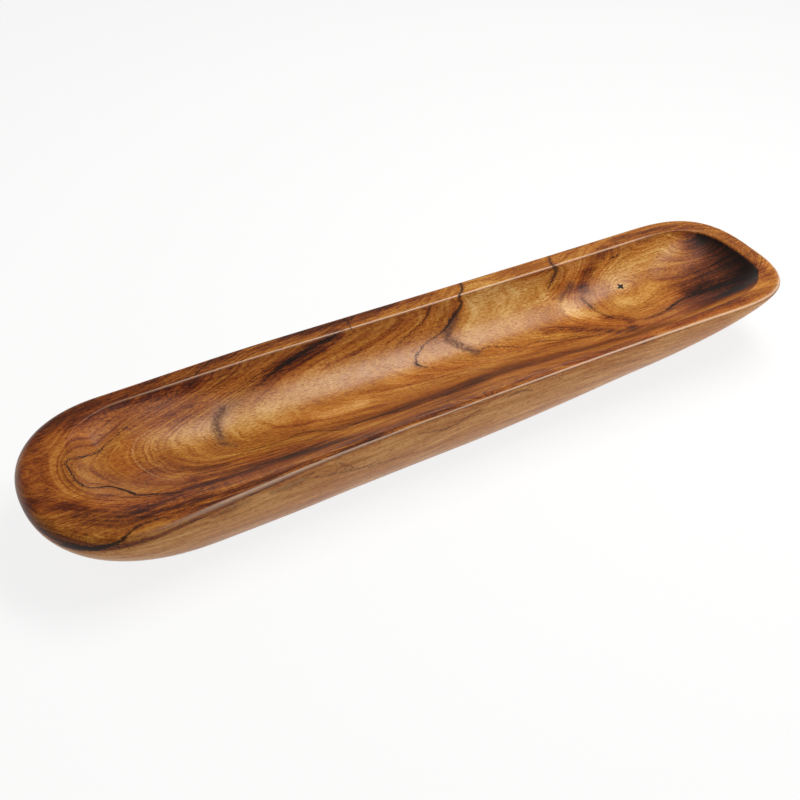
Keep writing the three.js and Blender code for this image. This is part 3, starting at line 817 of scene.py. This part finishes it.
def growthField(surface, places):
    # smooth field through the growth lines, by biharmonic radial functions with a plane under them
    fit = growthFit
    knots, levels = [], []
    for level, route in growthLines:
        line, normals = onBowl(surface, route)
        run = np.concatenate([[0], np.cumsum(np.linalg.norm(np.diff(line, axis=0), axis=1))])
        stops = np.linspace(0, run[-1], max(2, int(run[-1] / (fit["lineStep"] * mm))))
        knots.append(np.column_stack([np.interp(stops, run, line[:, axis]) for axis in range(3)]))
        levels.append(np.full(len(stops), level))
    knots.append([knotHeart(surface)[0]])
    levels.append([fit["heartLevel"]])
    backY, backZ = fit["backPlace"]
    for x in np.arange(nearEnd + fit["unseenFrom"], farEnd, fit["unseenStep"]):
        knots.append([(x * mm, 0, 0), (x * mm, bodyHigh.y * backY, bodyHigh.z * backZ)])
        levels.append([fit["footLevel"], fit["backLevel"] + (x - nearEnd) / fit["backRun"]])
    knots = np.vstack(knots)
    levels = np.concatenate(levels)
    count = len(knots)
    gaps = np.linalg.norm(knots[:, None] - knots[None], axis=2)
    plane = np.column_stack([np.ones(count), knots])
    size = count + plane.shape[1]
    system = np.zeros((size, size))
    system[:count, :count] = gaps - fit["ease"] * np.eye(count)
    system[:count, count:] = plane
    system[count:, :count] = plane.T
    weights = np.linalg.solve(system, np.concatenate([levels, np.zeros(size - count)]))
    field = np.column_stack([np.ones(len(places)), places]) @ weights[count:]
    for start in range(0, len(places), marking["chunk"]):
        part = slice(start, start + marking["chunk"])
        field[part] += np.linalg.norm(places[part, None] - knots[None], axis=2) @ weights[:count]
    return field


def knotHeart(surface):
    # place and normal of the middle of the knot
    places, normals = onBowl(surface, [knotFill["centre"], knotFill["centre"]])
    return places[0], normals[0]


def edgeMarks(mesh, places):
    # wear and a painted highlight are strongest along the middle of the outer and the inner edge, and the
    # broad near end has none
    stretch = np.zeros(len(places), np.int32)
    along = np.zeros(len(places), np.float32)
    mesh.attributes["stretch"].data.foreach_get("value", stretch)
    mesh.attributes["along"].data.foreach_get("value", along)
    on = {name: stretch == i for i, name in enumerate(stretchSteps)}
    wornAndLit = {}
    for name, (edge, middle, spread) in edgeWearAndLight.items():
        wornAndLit[name] = on[edge] * np.exp(-((along - middle) / spread) ** 2)
    x = places[:, 0] / mm
    clearOfNear = smoothStep(x, *(nearEnd + gap for gap in edgeWearAndLightFade["near"]))
    clearOfFar = smoothStep(x, *(farEnd - gap for gap in edgeWearAndLightFade["far"]))
    back = places[:, 1] > 0
    pale = np.where(back, wornAndLit["paleInner"] * clearOfFar, wornAndLit["paleOuter"]) * clearOfNear
    # painted dark reflection along the outer edge at the back and round the near end
    paintedEdgeShade = wornAndLit["paintedEdgeShade"] * np.where(back, 1, 1 - clearOfNear)
    flank = (on["foot"] | on["flank"]).astype(float)
    return {
        "wear": pale - paintedEdgeShade, "flank": flank,
        "aboveFlank": 1 - flank * (1 - smoothStep(along, *edgeWearAndLightFade["flank"])),
        "lip": (on["roll"] | on["lip"]) * back * clearOfNear,
        "hollow": on["hollow"].astype(float),
    }


def drawFigure(piece):
    # writes the traced figure into the bowl's mesh, for its material to read
    mesh = piece.data
    places = np.zeros(len(mesh.vertices) * 3)
    normals = np.zeros(len(mesh.vertices) * 3)
    mesh.vertices.foreach_get("co", places)
    mesh.vertices.foreach_get("normal", normals)
    places = places.reshape(-1, 3)
    surface = BVHTree.FromPolygons([v.co for v in mesh.vertices], [p.vertices for p in mesh.polygons])
    edges = edgeMarks(mesh, places)
    inHollow = bandMarks(surface, places, hollowPatches) * edges["hollow"]
    marks = {
        **veinMarks(surface, places),
        "shade": bandMarks(surface, places, patches) + inHollow,
        "fibreShade": bandMarks(surface, places, fibreBands) * edges["aboveFlank"],
        "stain": bandMarks(surface, places, stains),
        "growth": growthField(surface, places),
        "endFacing": smoothStep(np.abs(normals[0::3]), *marking["endFacing"]),
        "wear": edges["wear"], "flank": edges["flank"], "lip": edges["lip"],
    }
    for name, bands in {"quiet": quietBands, "dull": dullBands, "curl": curlBands}.items():
        marks[name] = np.minimum(bandMarks(surface, places, bands), 1)
    for name, values in marks.items():
        mesh.attributes.new(name, "FLOAT", "POINT").data.foreach_set("value", values.astype(np.float32))
    print("figure drawn,", len(veins), "veins,", len(growthLines), "growth lines")
    return surface, list(marks)


# Oiled teak. A span is the pair of values between which something comes in, with its depth after it.
teakLook = {
    "tones": [(0.0, "150803"), (0.14, "3a190a"), (0.30, "642c0e"), (0.46, "945117"), (0.62, "b67a30"),
              (0.78, "d4a761"), (1.0, "eed3a2")],
    # the flank's paler tone is partly a painted reflection of the pale floor
    "middleTone": 0.53, "flankTone": 0.71,
    "flankCalm": 0.85, "floorCalm": 0.35, "endCalm": 0.3,  # share of the grain that is left there
    "spots": {  # size in millimetres, noise detail
        "wander": (60, 2.0), "tremble": (10, 2.0), "ripplePatch": (38.46, 1.0), "knotWobble": (7.143, 2.0),
        "ragged": (2.381, 2.0), "thorns": (0.7692, 1.0),
    },
    "bowlGrain": {  # millimetres along and across the bowl, noise detail and roughness
        "thread": (26, 1.5, 3.0, 0.6), "flow": (48, 5.5, 3.0, 0.6), "speckle": (2.5, 1.0, 2.0, 0.7),
        "ripple": (1.7, 13, 1.0, 0.5),
        "pore": (4, 0.6, 1.0, 0.5),  # coarser than real pores, which would not show
    },
    "growthGrain": {  # millimetres along the bowl, width in growth levels, noise detail and roughness
        "band": (260, 0.55, 2.0, 0.55), "streak": (70, 0.085, 2.0, 0.55), "hair": (22, 0.022, 2.0, 0.55),
        "fibre": (45, 0.05, 4.0, 0.65), "red": (166.67, 0.7692, 2.0, 0.5),
    },
    "grainShift": {"red": (3.7, 1.9, 5.0)},  # keeps the red bands apart from the dark ones
    "stray": {"wander": 0.09, "tremble": 0.022},  # how far the grain strays, in growth levels
    "lift": {"band": 0.16, "streak": 0.24, "hair": 0.15, "thread": 0.13, "flow": 0.22, "speckle": 0.21},
    "flowFront": (-6, -26),  # millimetres across the bowl over which the flow comes in on the front slope
    # the dark outer edge is a painted dark reflection, and this is its tone
    "fibreSpan": (1.14, 1.86, 0.8), "paintedEdgeShadeTone": 0.2,
    "rippleSpan": (0.3, 0.7), "ripplePatchSpan": (0.48, 0.62), "rippleTone": 0.03, "curlTone": 0.06,
    "lineCount": 6.5, "lineSpan": (0.55, 1.0), "lineTone": -0.06, "linePatchSpan": (0.40, 0.62, 0.15),
    "poreSpan": (0.56, 0.70), "poreTone": -0.19,
    "veinPush": {"ragged": 3.8, "thorns": 2.4},  # millimetres by which a vein's edge is pushed about
    "veinLeast": 0.01, "veinSpan": (0.55, 1.25), "veinThin": (0.05, 0.35),
    "haloSpan": (0.8, 3.5), "haloThin": (0.05, 0.5), "haloTone": -0.07,
    "ringSpan": (0.1, 1.0), "ringStep": 3.1, "ringStray": 8.0,  # step and stray in millimetres
    "ringFade": (3.0, 12.0, 0.26),  # millimetres from the heart
    "redCast": "ffe6d6", "redSpan": (0.40, 0.66, 0.85), "floorRed": 0.1, "flankRed": 0.8,
    # the pale edge share and colour below are partly wear and partly a painted highlight
    "stainBreak": (0.7, 1.3, 0.45, 1.55), "stainSpan": (0.05, 0.90, 0.80), "wearAndHighlightShare": 0.62,
    "wearColour": "f2d2b4", "stainColour": "43211a", "ringColour": "5a2a14",
    "paleVeinColour": "d9a866", "veinColour": "160b06",
    "roughSpan": (0.3, 0.7), "roughness": (0.27, 0.38), "veinRough": 0.08, "dullRough": 0.30,
    "ior": 1.5, "specular": 0.25, "bump": 0.04, "bumpStrength": 0.5,  # bump in millimetres
}


def oiledTeak(material, markNames, heart):
    # teak, carved by hand, sanded and rubbed with oil: warm bands that follow the growth, fine dark
    # growth lines, black mineral veins, short open pores and a satin sheen
    material.use_nodes = True
    tree = material.node_tree
    shader = tree.nodes["Principled BSDF"]
    node = functools.partial(addNode, tree)
    look = teakLook
    colourMix = {"data_type": "RGBA"}
    marks = {}
    for name in markNames:
        marks[name] = node("ShaderNodeAttribute", {"attribute_name": name}).node.outputs["Fac"]
    place = node("ShaderNodeTexCoord").node.outputs["Object"]
    placeX = node("ShaderNodeSeparateXYZ", None, place)
    placeY = placeX.node.outputs["Y"]

    fields = {}
    for name, (size, detail) in look["spots"].items():
        fields[name] = node(noise, None, Vector=place, Scale=1 / (size * mm), Detail=detail)
    for name, (length, width, detail, rough) in look["bowlGrain"].items():
        scale = (1 / (length * mm), 1 / (width * mm), 1 / (width * mm))
        space = node(vecCalc, "MULTIPLY", place, scale)
        fields[name] = node(noise, None, Vector=space, Scale=1.0, Detail=detail, Roughness=rough)

    # the growth field, made to stray as real grain does
    growth = marks["growth"]
    for name, share in look["stray"].items():
        swing = node(calc, "SUBTRACT", fields[name], 0.5)
        growth = node(calc, "MULTIPLY_ADD", swing, share * 2, growth)
    grain = node("ShaderNodeCombineXYZ", None, placeX, growth, 0.0)
    for name, (length, width, detail, rough) in look["growthGrain"].items():
        shift = look["grainShift"].get(name, (0.0, 0.0, 0.0))
        space = node(vecCalc, "MULTIPLY_ADD", grain, (1 / (length * mm), 1 / width, 0.0), shift)
        fields[name] = node(noise, None, Vector=space, Scale=1.0, Detail=detail, Roughness=rough)

    # bands, streaks, hairs, threads and speckle, calmer on the flank, on the floor and end on
    calm = node(mapRange, None, marks["flank"], 0.0, 1.0, 1.0, look["flankCalm"])
    floorCalm = node(mapRange, None, marks["quiet"], 0.0, 1.0, 1.0, look["floorCalm"])
    calm = node(calc, "MULTIPLY", calm, floorCalm)
    endCalm = node(mapRange, None, marks["endFacing"], 0.0, 1.0, 1.0, look["endCalm"])
    threadCalm = node(calc, "MULTIPLY", calm, endCalm)
    lift = {name: share * 2 for name, share in look["lift"].items()}
    flowFrom, flowTo = (y * mm for y in look["flowFront"])
    flowShare = node(mapRange, smooth, placeY, flowFrom, flowTo, 0.0, lift["flow"])
    shares = {name: node(calc, "MULTIPLY", calm, lift[name]) for name in ("band", "streak", "hair")}
    shares["thread"] = node(calc, "MULTIPLY", threadCalm, lift["thread"])
    shares["flow"] = node(calc, "MULTIPLY", threadCalm, flowShare)
    shares["speckle"] = node(mapRange, None, marks["flank"], 0.0, 1.0, lift["speckle"], lift["speckle"] / 2)
    # paler on the flank, partly a painted reflection of the pale floor
    tone = node(mapRange, None, marks["flank"], 0.0, 1.0, look["middleTone"], look["flankTone"])
    for name, share in shares.items():
        swing = node(calc, "SUBTRACT", fields[name], 0.5)
        tone = node(calc, "MULTIPLY_ADD", swing, share, tone)

    # traced bands, some of them partly painted shade and painted sheen: the soft ones lie as they are, and
    # the dark ones break up into fibres
    fibre = node(calc, "ADD", node(calc, "ADD", fields["fibre"], fields["thread"]), fields["flow"])
    low, high, depth = look["fibreSpan"]
    fibre = node(mapRange, None, fibre, low, high, depth, -depth)
    fibre = node(calc, "MULTIPLY_ADD", fibre, endCalm, 1.0)
    tone = node(calc, "ADD", tone, marks["shade"])
    tone = node(calc, "MULTIPLY_ADD", marks["fibreShade"], fibre, tone)

    # painted dark reflection: the outer edge at the back and round the near end is darkened
    paintedEdgeShade = node(calc, "MINIMUM", marks["wear"], 0.0)
    tone = node(calc, "MULTIPLY_ADD", paintedEdgeShade, look["paintedEdgeShadeTone"], tone)

    # rippled figure: fine bars across the grain, in patches
    bars = node(mapRange, None, fields["ripple"], *look["rippleSpan"], -1.0, 1.0)
    barShare = node(
        mapRange, smooth, fields["ripplePatch"], *look["ripplePatchSpan"], 0.0, look["rippleTone"])
    barShare = node(calc, "MULTIPLY", barShare, node(calc, "SUBTRACT", 1.0, marks["flank"]))
    barShare = node(calc, "MULTIPLY_ADD", marks["curl"], look["curlTone"], barShare)
    tone = node(calc, "MULTIPLY_ADD", bars, barShare, tone)

    # fine dark growth lines, in patches
    turn = node(calc, "MULTIPLY", growth, look["lineCount"] * 2 * math.pi)
    crest = node(mapRange, smooth, node(calc, "SINE", turn), *look["lineSpan"], 0.0, look["lineTone"])
    crest = node(calc, "MULTIPLY", crest, calm)
    low, high, least = look["linePatchSpan"]
    linePatch = node(mapRange, smooth, fields["band"], low, high, 1.0, least)
    tone = node(calc, "MULTIPLY_ADD", crest, linePatch, tone)

    # short open pores along the bowl
    pores = node(mapRange, smooth, fields["pore"], *look["poreSpan"], 0.0, 1.0)
    tone = node(calc, "MULTIPLY_ADD", pores, look["poreTone"], tone)

    # black veins with ragged edges and a faint dark halo, and a few pale lines
    veinSide = marks["veinSide"]
    for name, push in look["veinPush"].items():
        swing = node(calc, "SUBTRACT", fields[name], 0.5)
        veinSide = node(calc, "MULTIPLY_ADD", swing, push, veinSide)
    halfVein = node(calc, "MULTIPLY", marks["veinWidth"], 0.5)
    halfVein = node(calc, "MAXIMUM", halfVein, look["veinLeast"])
    veinReach = node(calc, "DIVIDE", node(calc, "ABSOLUTE", veinSide), halfVein)
    veinLine = node(mapRange, smooth, veinReach, *look["veinSpan"], 1.0, 0.0)
    veinThere = node(mapRange, smooth, marks["veinWidth"], *look["veinThin"], 0.0, 1.0)
    veinLine = node(calc, "MULTIPLY", veinLine, veinThere)
    darkShare = node(calc, "MAXIMUM", marks["veinStrength"], 0.0)
    paleShare = node(calc, "MAXIMUM", node(calc, "MULTIPLY", marks["veinStrength"], -1.0), 0.0)
    vein = node(calc, "MULTIPLY", veinLine, darkShare)
    paleVein = node(calc, "MULTIPLY", veinLine, paleShare)
    halo = node(mapRange, smooth, veinReach, *look["haloSpan"], look["haloTone"], 0.0)
    haloThere = node(mapRange, smooth, marks["veinWidth"], *look["haloThin"], 0.0, 1.0)
    halo = node(calc, "MULTIPLY", halo, haloThere)
    tone = node(calc, "MULTIPLY_ADD", halo, darkShare, tone)

    # rings of the knot
    fromHeart = node(calc, "DIVIDE", node(vecCalc, "DISTANCE", place, tuple(heart)), mm)
    swing = node(calc, "SUBTRACT", fields["knotWobble"], 0.5)
    fromHeart = node(calc, "MULTIPLY_ADD", swing, look["ringStray"], fromHeart)
    ring = node(calc, "SINE", node(calc, "MULTIPLY", fromHeart, 2 * math.pi / look["ringStep"]))
    ring = node(mapRange, smooth, ring, *look["ringSpan"], 0.0, 1.0)
    low, high, depth = look["ringFade"]
    ring = node(calc, "MULTIPLY", ring, node(mapRange, smooth, fromHeart, low, high, depth, 0.0))

    colour = node("ShaderNodeValToRGB", None, tone)
    stops = colour.node.color_ramp.elements
    while len(stops) < len(look["tones"]):
        stops.new(0.5)
    for stop, (at, hexColour) in zip(stops, look["tones"]):
        stop.position = at
        stop.color = linear(hexColour)

    # some bands are redder
    low, high, depth = look["redSpan"]
    redShare = node(mapRange, smooth, fields["red"], low, high, 0.0, depth)
    floorRed = node(mapRange, None, marks["quiet"], 0.0, 1.0, 1.0, look["floorRed"])
    redShare = node(calc, "MULTIPLY", redShare, floorRed)
    redShare = node(calc, "MULTIPLY", redShare, node(calc, "SUBTRACT", 1.0, marks["lip"]))
    redShare = node(calc, "MAXIMUM", redShare, node(calc, "MULTIPLY", marks["flank"], look["flankRed"]))
    multiply = {"data_type": "RGBA", "blend_type": "MULTIPLY"}
    colour = node(mix, multiply, redShare, colour, linear(look["redCast"]))

    # worn edges with a painted highlight, mineral stain, knot rings and veins lie over the grain
    wornAndLit = node(calc, "MULTIPLY", node(calc, "MAXIMUM", marks["wear"], 0.0), look["wearAndHighlightShare"])
    broken = node(calc, "ADD", fields["ragged"], fields["thorns"])
    broken = node(mapRange, None, broken, *look["stainBreak"])
    low, high, depth = look["stainSpan"]
    stained = node(mapRange, smooth, node(calc, "MULTIPLY", marks["stain"], broken), low, high, 0.0, depth)
    covers = {"wearColour": wornAndLit, "stainColour": stained, "ringColour": ring,
              "paleVeinColour": paleVein, "veinColour": vein}
    for name, share in covers.items():
        colour = node(mix, colourMix, share, colour, linear(look[name]))
    tree.links.new(colour, shader.inputs["Base Color"])

    # satin oil film, rougher in the veins, in the stains and where the oil has sunk in
    rough = node(mapRange, None, fields["hair"], *look["roughSpan"], *look["roughness"])
    rough = node(calc, "MULTIPLY_ADD", vein, look["veinRough"], rough)
    dull = node(calc, "MAXIMUM", marks["dull"], stained)
    rough = node(calc, "MULTIPLY_ADD", dull, look["dullRough"], rough)
    tree.links.new(rough, shader.inputs["Roughness"])
    shader.inputs["IOR"].default_value = look["ior"]
    shader.inputs["Specular IOR Level"].default_value = look["specular"]
    height = node(calc, "SUBTRACT", fields["hair"], pores)
    bump = node(
        "ShaderNodeBump", None, Strength=look["bumpStrength"], Distance=look["bump"] * mm, Height=height)
    tree.links.new(bump, shader.inputs["Normal"])


# Filler. Sizes in millimetres.
fillerLook = {
    "colours": ("120906", "4a2a18"), "speck": 0.625, "speckSpan": (0.45, 0.72),
    "roughSpan": (0.3, 0.7), "roughness": (0.5, 0.65), "ior": 1.5, "specular": 0.2,
    "bump": 0.05, "bumpStrength": 0.4,
}


def dustFiller():
    # wood dust bound in dark resin and sanded: nearly black, with brown specks and a duller gloss
    material = bpy.data.materials.new("filler_wood_dust_resin_sanded")
    material.use_nodes = True
    tree = material.node_tree
    shader = tree.nodes["Principled BSDF"]
    node = functools.partial(addNode, tree)
    look = fillerLook
    place = node("ShaderNodeTexCoord").node.outputs["Object"]
    specks = node(noise, None, Vector=place, Scale=1 / (look["speck"] * mm), Detail=2.0)
    share = node(mapRange, None, specks, *look["speckSpan"], 0.0, 1.0)
    dark, brown = (linear(hexColour) for hexColour in look["colours"])
    colour = node(mix, {"data_type": "RGBA"}, share, dark, brown)
    rough = node(mapRange, None, specks, *look["roughSpan"], *look["roughness"])
    bump = node(
        "ShaderNodeBump", None, Strength=look["bumpStrength"], Distance=look["bump"] * mm, Height=specks)
    for source, name in ((colour, "Base Color"), (rough, "Roughness"), (bump, "Normal")):
        tree.links.new(source, shader.inputs[name])
    shader.inputs["IOR"].default_value = look["ior"]
    shader.inputs["Specular IOR Level"].default_value = look["specular"]
    return material


def fillPiece(name, sections, material, cadNode):
    # closed skin through rings of points, with the first and last ring drawn together to a point
    count = len(sections[0])
    points = np.vstack([*sections, sections[0].mean(0), sections[-1].mean(0)])
    first = len(sections) * count
    last = (len(sections) - 1) * count
    faces = []
    for j in range(count):
        k = (j + 1) % count
        for low in range(0, last, count):
            faces.append((low + j, low + k, low + count + k, low + count + j))
        faces.append((k, j, first))
        faces.append((last + j, last + k, first + 1))
    mesh = bpy.data.meshes.new(name)
    mesh.from_pydata(points.tolist(), [], faces)
    mesh.materials.append(material)
    mesh.shade_smooth()
    form = bmesh.new()
    form.from_mesh(mesh)
    bmesh.ops.recalc_face_normals(form, faces=form.faces)
    form.to_mesh(mesh)
    form.free()
    piece = bpy.data.objects.new(name, mesh)
    scene.collection.objects.link(piece)
    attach(piece, "root")
    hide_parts(cadNode)
    print(name, "made,", len(faces), "faces")


def crowned(surface, point, normal, share, size):
    # the point brought on to the bowl along its normal, raised in the middle and tucked in at the edge
    start = Vector(point) + Vector(normal) * size["dropFrom"] * mm
    place, faceNormal, face, distance = surface.ray_cast(start, -Vector(normal))
    lift = size["proud"] * (1 - share ** 4) - size["tuck"] * (abs(share) == 1)
    return np.array(place or point) + np.array(normal) * lift * mm


def knotPlug(surface, material):
    size = knotFill
    centre, normal = knotHeart(surface)
    right = np.cross((0, 1, 0), normal)
    right /= np.linalg.norm(right)
    up = np.cross(normal, right)
    angles = np.arange(size["around"]) * 2 * np.pi / size["around"]
    sections = []
    for i in range(1, size["rings"] + 1):
        share = i / size["rings"]
        ring = []
        for angle in angles:
            lobe = size["lobe"] * math.cos(size["lobes"] * (angle - size["turn"]))
            reach = share * (size["radius"] + lobe) * mm
            point = centre + (right * math.cos(angle) + up * math.sin(angle)) * reach
            ring.append(crowned(surface, point, normal, share, size))
        sections.append(np.array(ring))
    sections.append(sections[-1] - normal * size["depth"] * mm)
    fillPiece("knot_plug", sections, material, "knot_filler")


def checkSliver(surface, material):
    size = checkFill
    line, normals = onBowl(surface, size["route"])
    widths = alongLine(size["widths"], len(line))
    rows = np.linspace(-1, 1, size["rows"])
    sections = []
    for middle, normal, side, width in zip(line, normals, acrossLine(line, normals), widths):
        half = side * width / 2 * mm
        top = [crowned(surface, middle + half * row, normal, row, size) for row in rows]
        below = [point - normal * size["depth"] * mm for point in top[::-1]]
        sections.append(np.array(top + below))
    fillPiece("check_sliver", sections, material, "check_filler")


teak = bpy.data.materials.new("teak_carved_sanded_oiled")
bowlPiece = loftedBowl(teak)
bowlSurface, markNames = drawFigure(bowlPiece)
oiledTeak(teak, markNames, knotHeart(bowlSurface)[0])
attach(bowlPiece, "root")
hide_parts("bowl_body")
filler = dustFiller()
knotPlug(bowlSurface, filler)
checkSliver(bowlSurface, filler)


# Plain pale floor that sweeps up into a low wall, a white backdrop above it and soft studio light.
# Metres, watts, and degrees above the horizon over which the backdrop fades into the sky.
studio = {
    "sweepRadius": 3.0, "sweepBend": 0.2, "sweepHeight": 0.3,
    "sweepSides": 96, "flatRings": 4, "bendRings": 12,
    "floorDrop": 0.0001,  # keeps the paper clear of the foot
    "floorColour": "f6f5f3", "floorOwnWhite": 0.85,
    "skyLevel": 0.21, "backdropLevel": 0.87, "backdropFade": (14, 26),
    "softboxAim": (0.40, -0.02, 0.915), "softboxFrom": 1.1,
    "softboxSize": (0.78, 0.42), "softboxWatts": 12.6,
}


def paperSweep():
    bend = studio["sweepBend"]
    flat = studio["sweepRadius"] - bend
    turns = np.linspace(0, np.pi / 2, studio["bendRings"] + 1)[1:]
    profile = [(flat * i / studio["flatRings"], 0.0) for i in range(1, studio["flatRings"] + 1)]
    profile += [(flat + bend * math.sin(t), bend - bend * math.cos(t)) for t in turns]
    profile.append((studio["sweepRadius"], studio["sweepHeight"]))
    sides = studio["sweepSides"]
    angles = np.arange(sides) * 2 * math.pi / sides
    points = [(0, 0, 0)]
    for radius, z in profile:
        points += [(radius * math.cos(angle), radius * math.sin(angle), z) for angle in angles]
    faces = []
    for j in range(sides):
        k = (j + 1) % sides
        faces.append((0, 1 + j, 1 + k))
        for low in range(1, len(points) - sides, sides):
            faces.append((low + j, low + sides + j, low + sides + k, low + k))
    mesh = bpy.data.meshes.new("floor")
    mesh.from_pydata((np.array(points) - (0, 0, studio["floorDrop"])).tolist(), [], faces)
    mesh.shade_smooth()
    return mesh


def seenRays(tree):
    # 1 for what the eye, a reflection or clear matter looks at, and 0 for light falling on things
    rays = tree.nodes.new("ShaderNodeLightPath").outputs
    seen = rays["Is Camera Ray"]
    for name in ("Is Glossy Ray", "Is Transmission Ray"):
        seen = addNode(tree, calc, "MAXIMUM", seen, rays[name])
    return seen


def mattPaper():
    # matt white paper: bright to the eye and in reflections, and still holding the shadow
    paper = bpy.data.materials.new("paper_matt_white")
    paper.use_nodes = True
    tree = paper.node_tree
    tree.nodes.clear()
    node = functools.partial(addNode, tree)
    lit = node("ShaderNodeBsdfDiffuse", None, Color=linear(studio["floorColour"]))
    glow = node("ShaderNodeEmission", None, Color=linear("ffffff"), Strength=1.0)
    share = node(calc, "MULTIPLY", seenRays(tree), studio["floorOwnWhite"])
    node("ShaderNodeOutputMaterial", None, Surface=node("ShaderNodeMixShader", None, share, lit, glow))
    return paper


def studioSky():
    world = bpy.data.worlds.new("studio")
    world.use_nodes = True
    tree = world.node_tree
    tree.nodes.clear()
    node = functools.partial(addNode, tree)
    rise = node("ShaderNodeSeparateXYZ", None, node("ShaderNodeTexCoord")).node.outputs["Z"]
    low, high = (math.sin(math.radians(angle)) for angle in studio["backdropFade"])
    backdrop = node(mapRange, smooth, rise, low, high, 1.0, 0.0)
    share = node(calc, "MULTIPLY", seenRays(tree), backdrop)
    level = node(mapRange, None, share, 0.0, 1.0, studio["skyLevel"], studio["backdropLevel"])
    sky = node("ShaderNodeBackground", None, Color=linear("ffffff"), Strength=level)
    node("ShaderNodeOutputWorld", None, Surface=sky)
    return world


floorMesh = paperSweep()
floorMesh.materials.append(mattPaper())
floor = bpy.data.objects.new("floor", floorMesh)
scene.collection.objects.link(floor)
scene.world = studioSky()

lampData = bpy.data.lights.new("softbox", "AREA")
lampData.shape = "RECTANGLE"
lampData.size, lampData.size_y = studio["softboxSize"]
lampData.energy = studio["softboxWatts"]
lamp = bpy.data.objects.new("softbox", lampData)
aim = Vector(studio["softboxAim"]).normalized()
lamp.location = Vector(view["target"]) + aim * studio["softboxFrom"]
lamp.rotation_euler = aim.to_track_quat("Z", "Y").to_euler()
scene.collection.objects.link(lamp)
print("studio set")
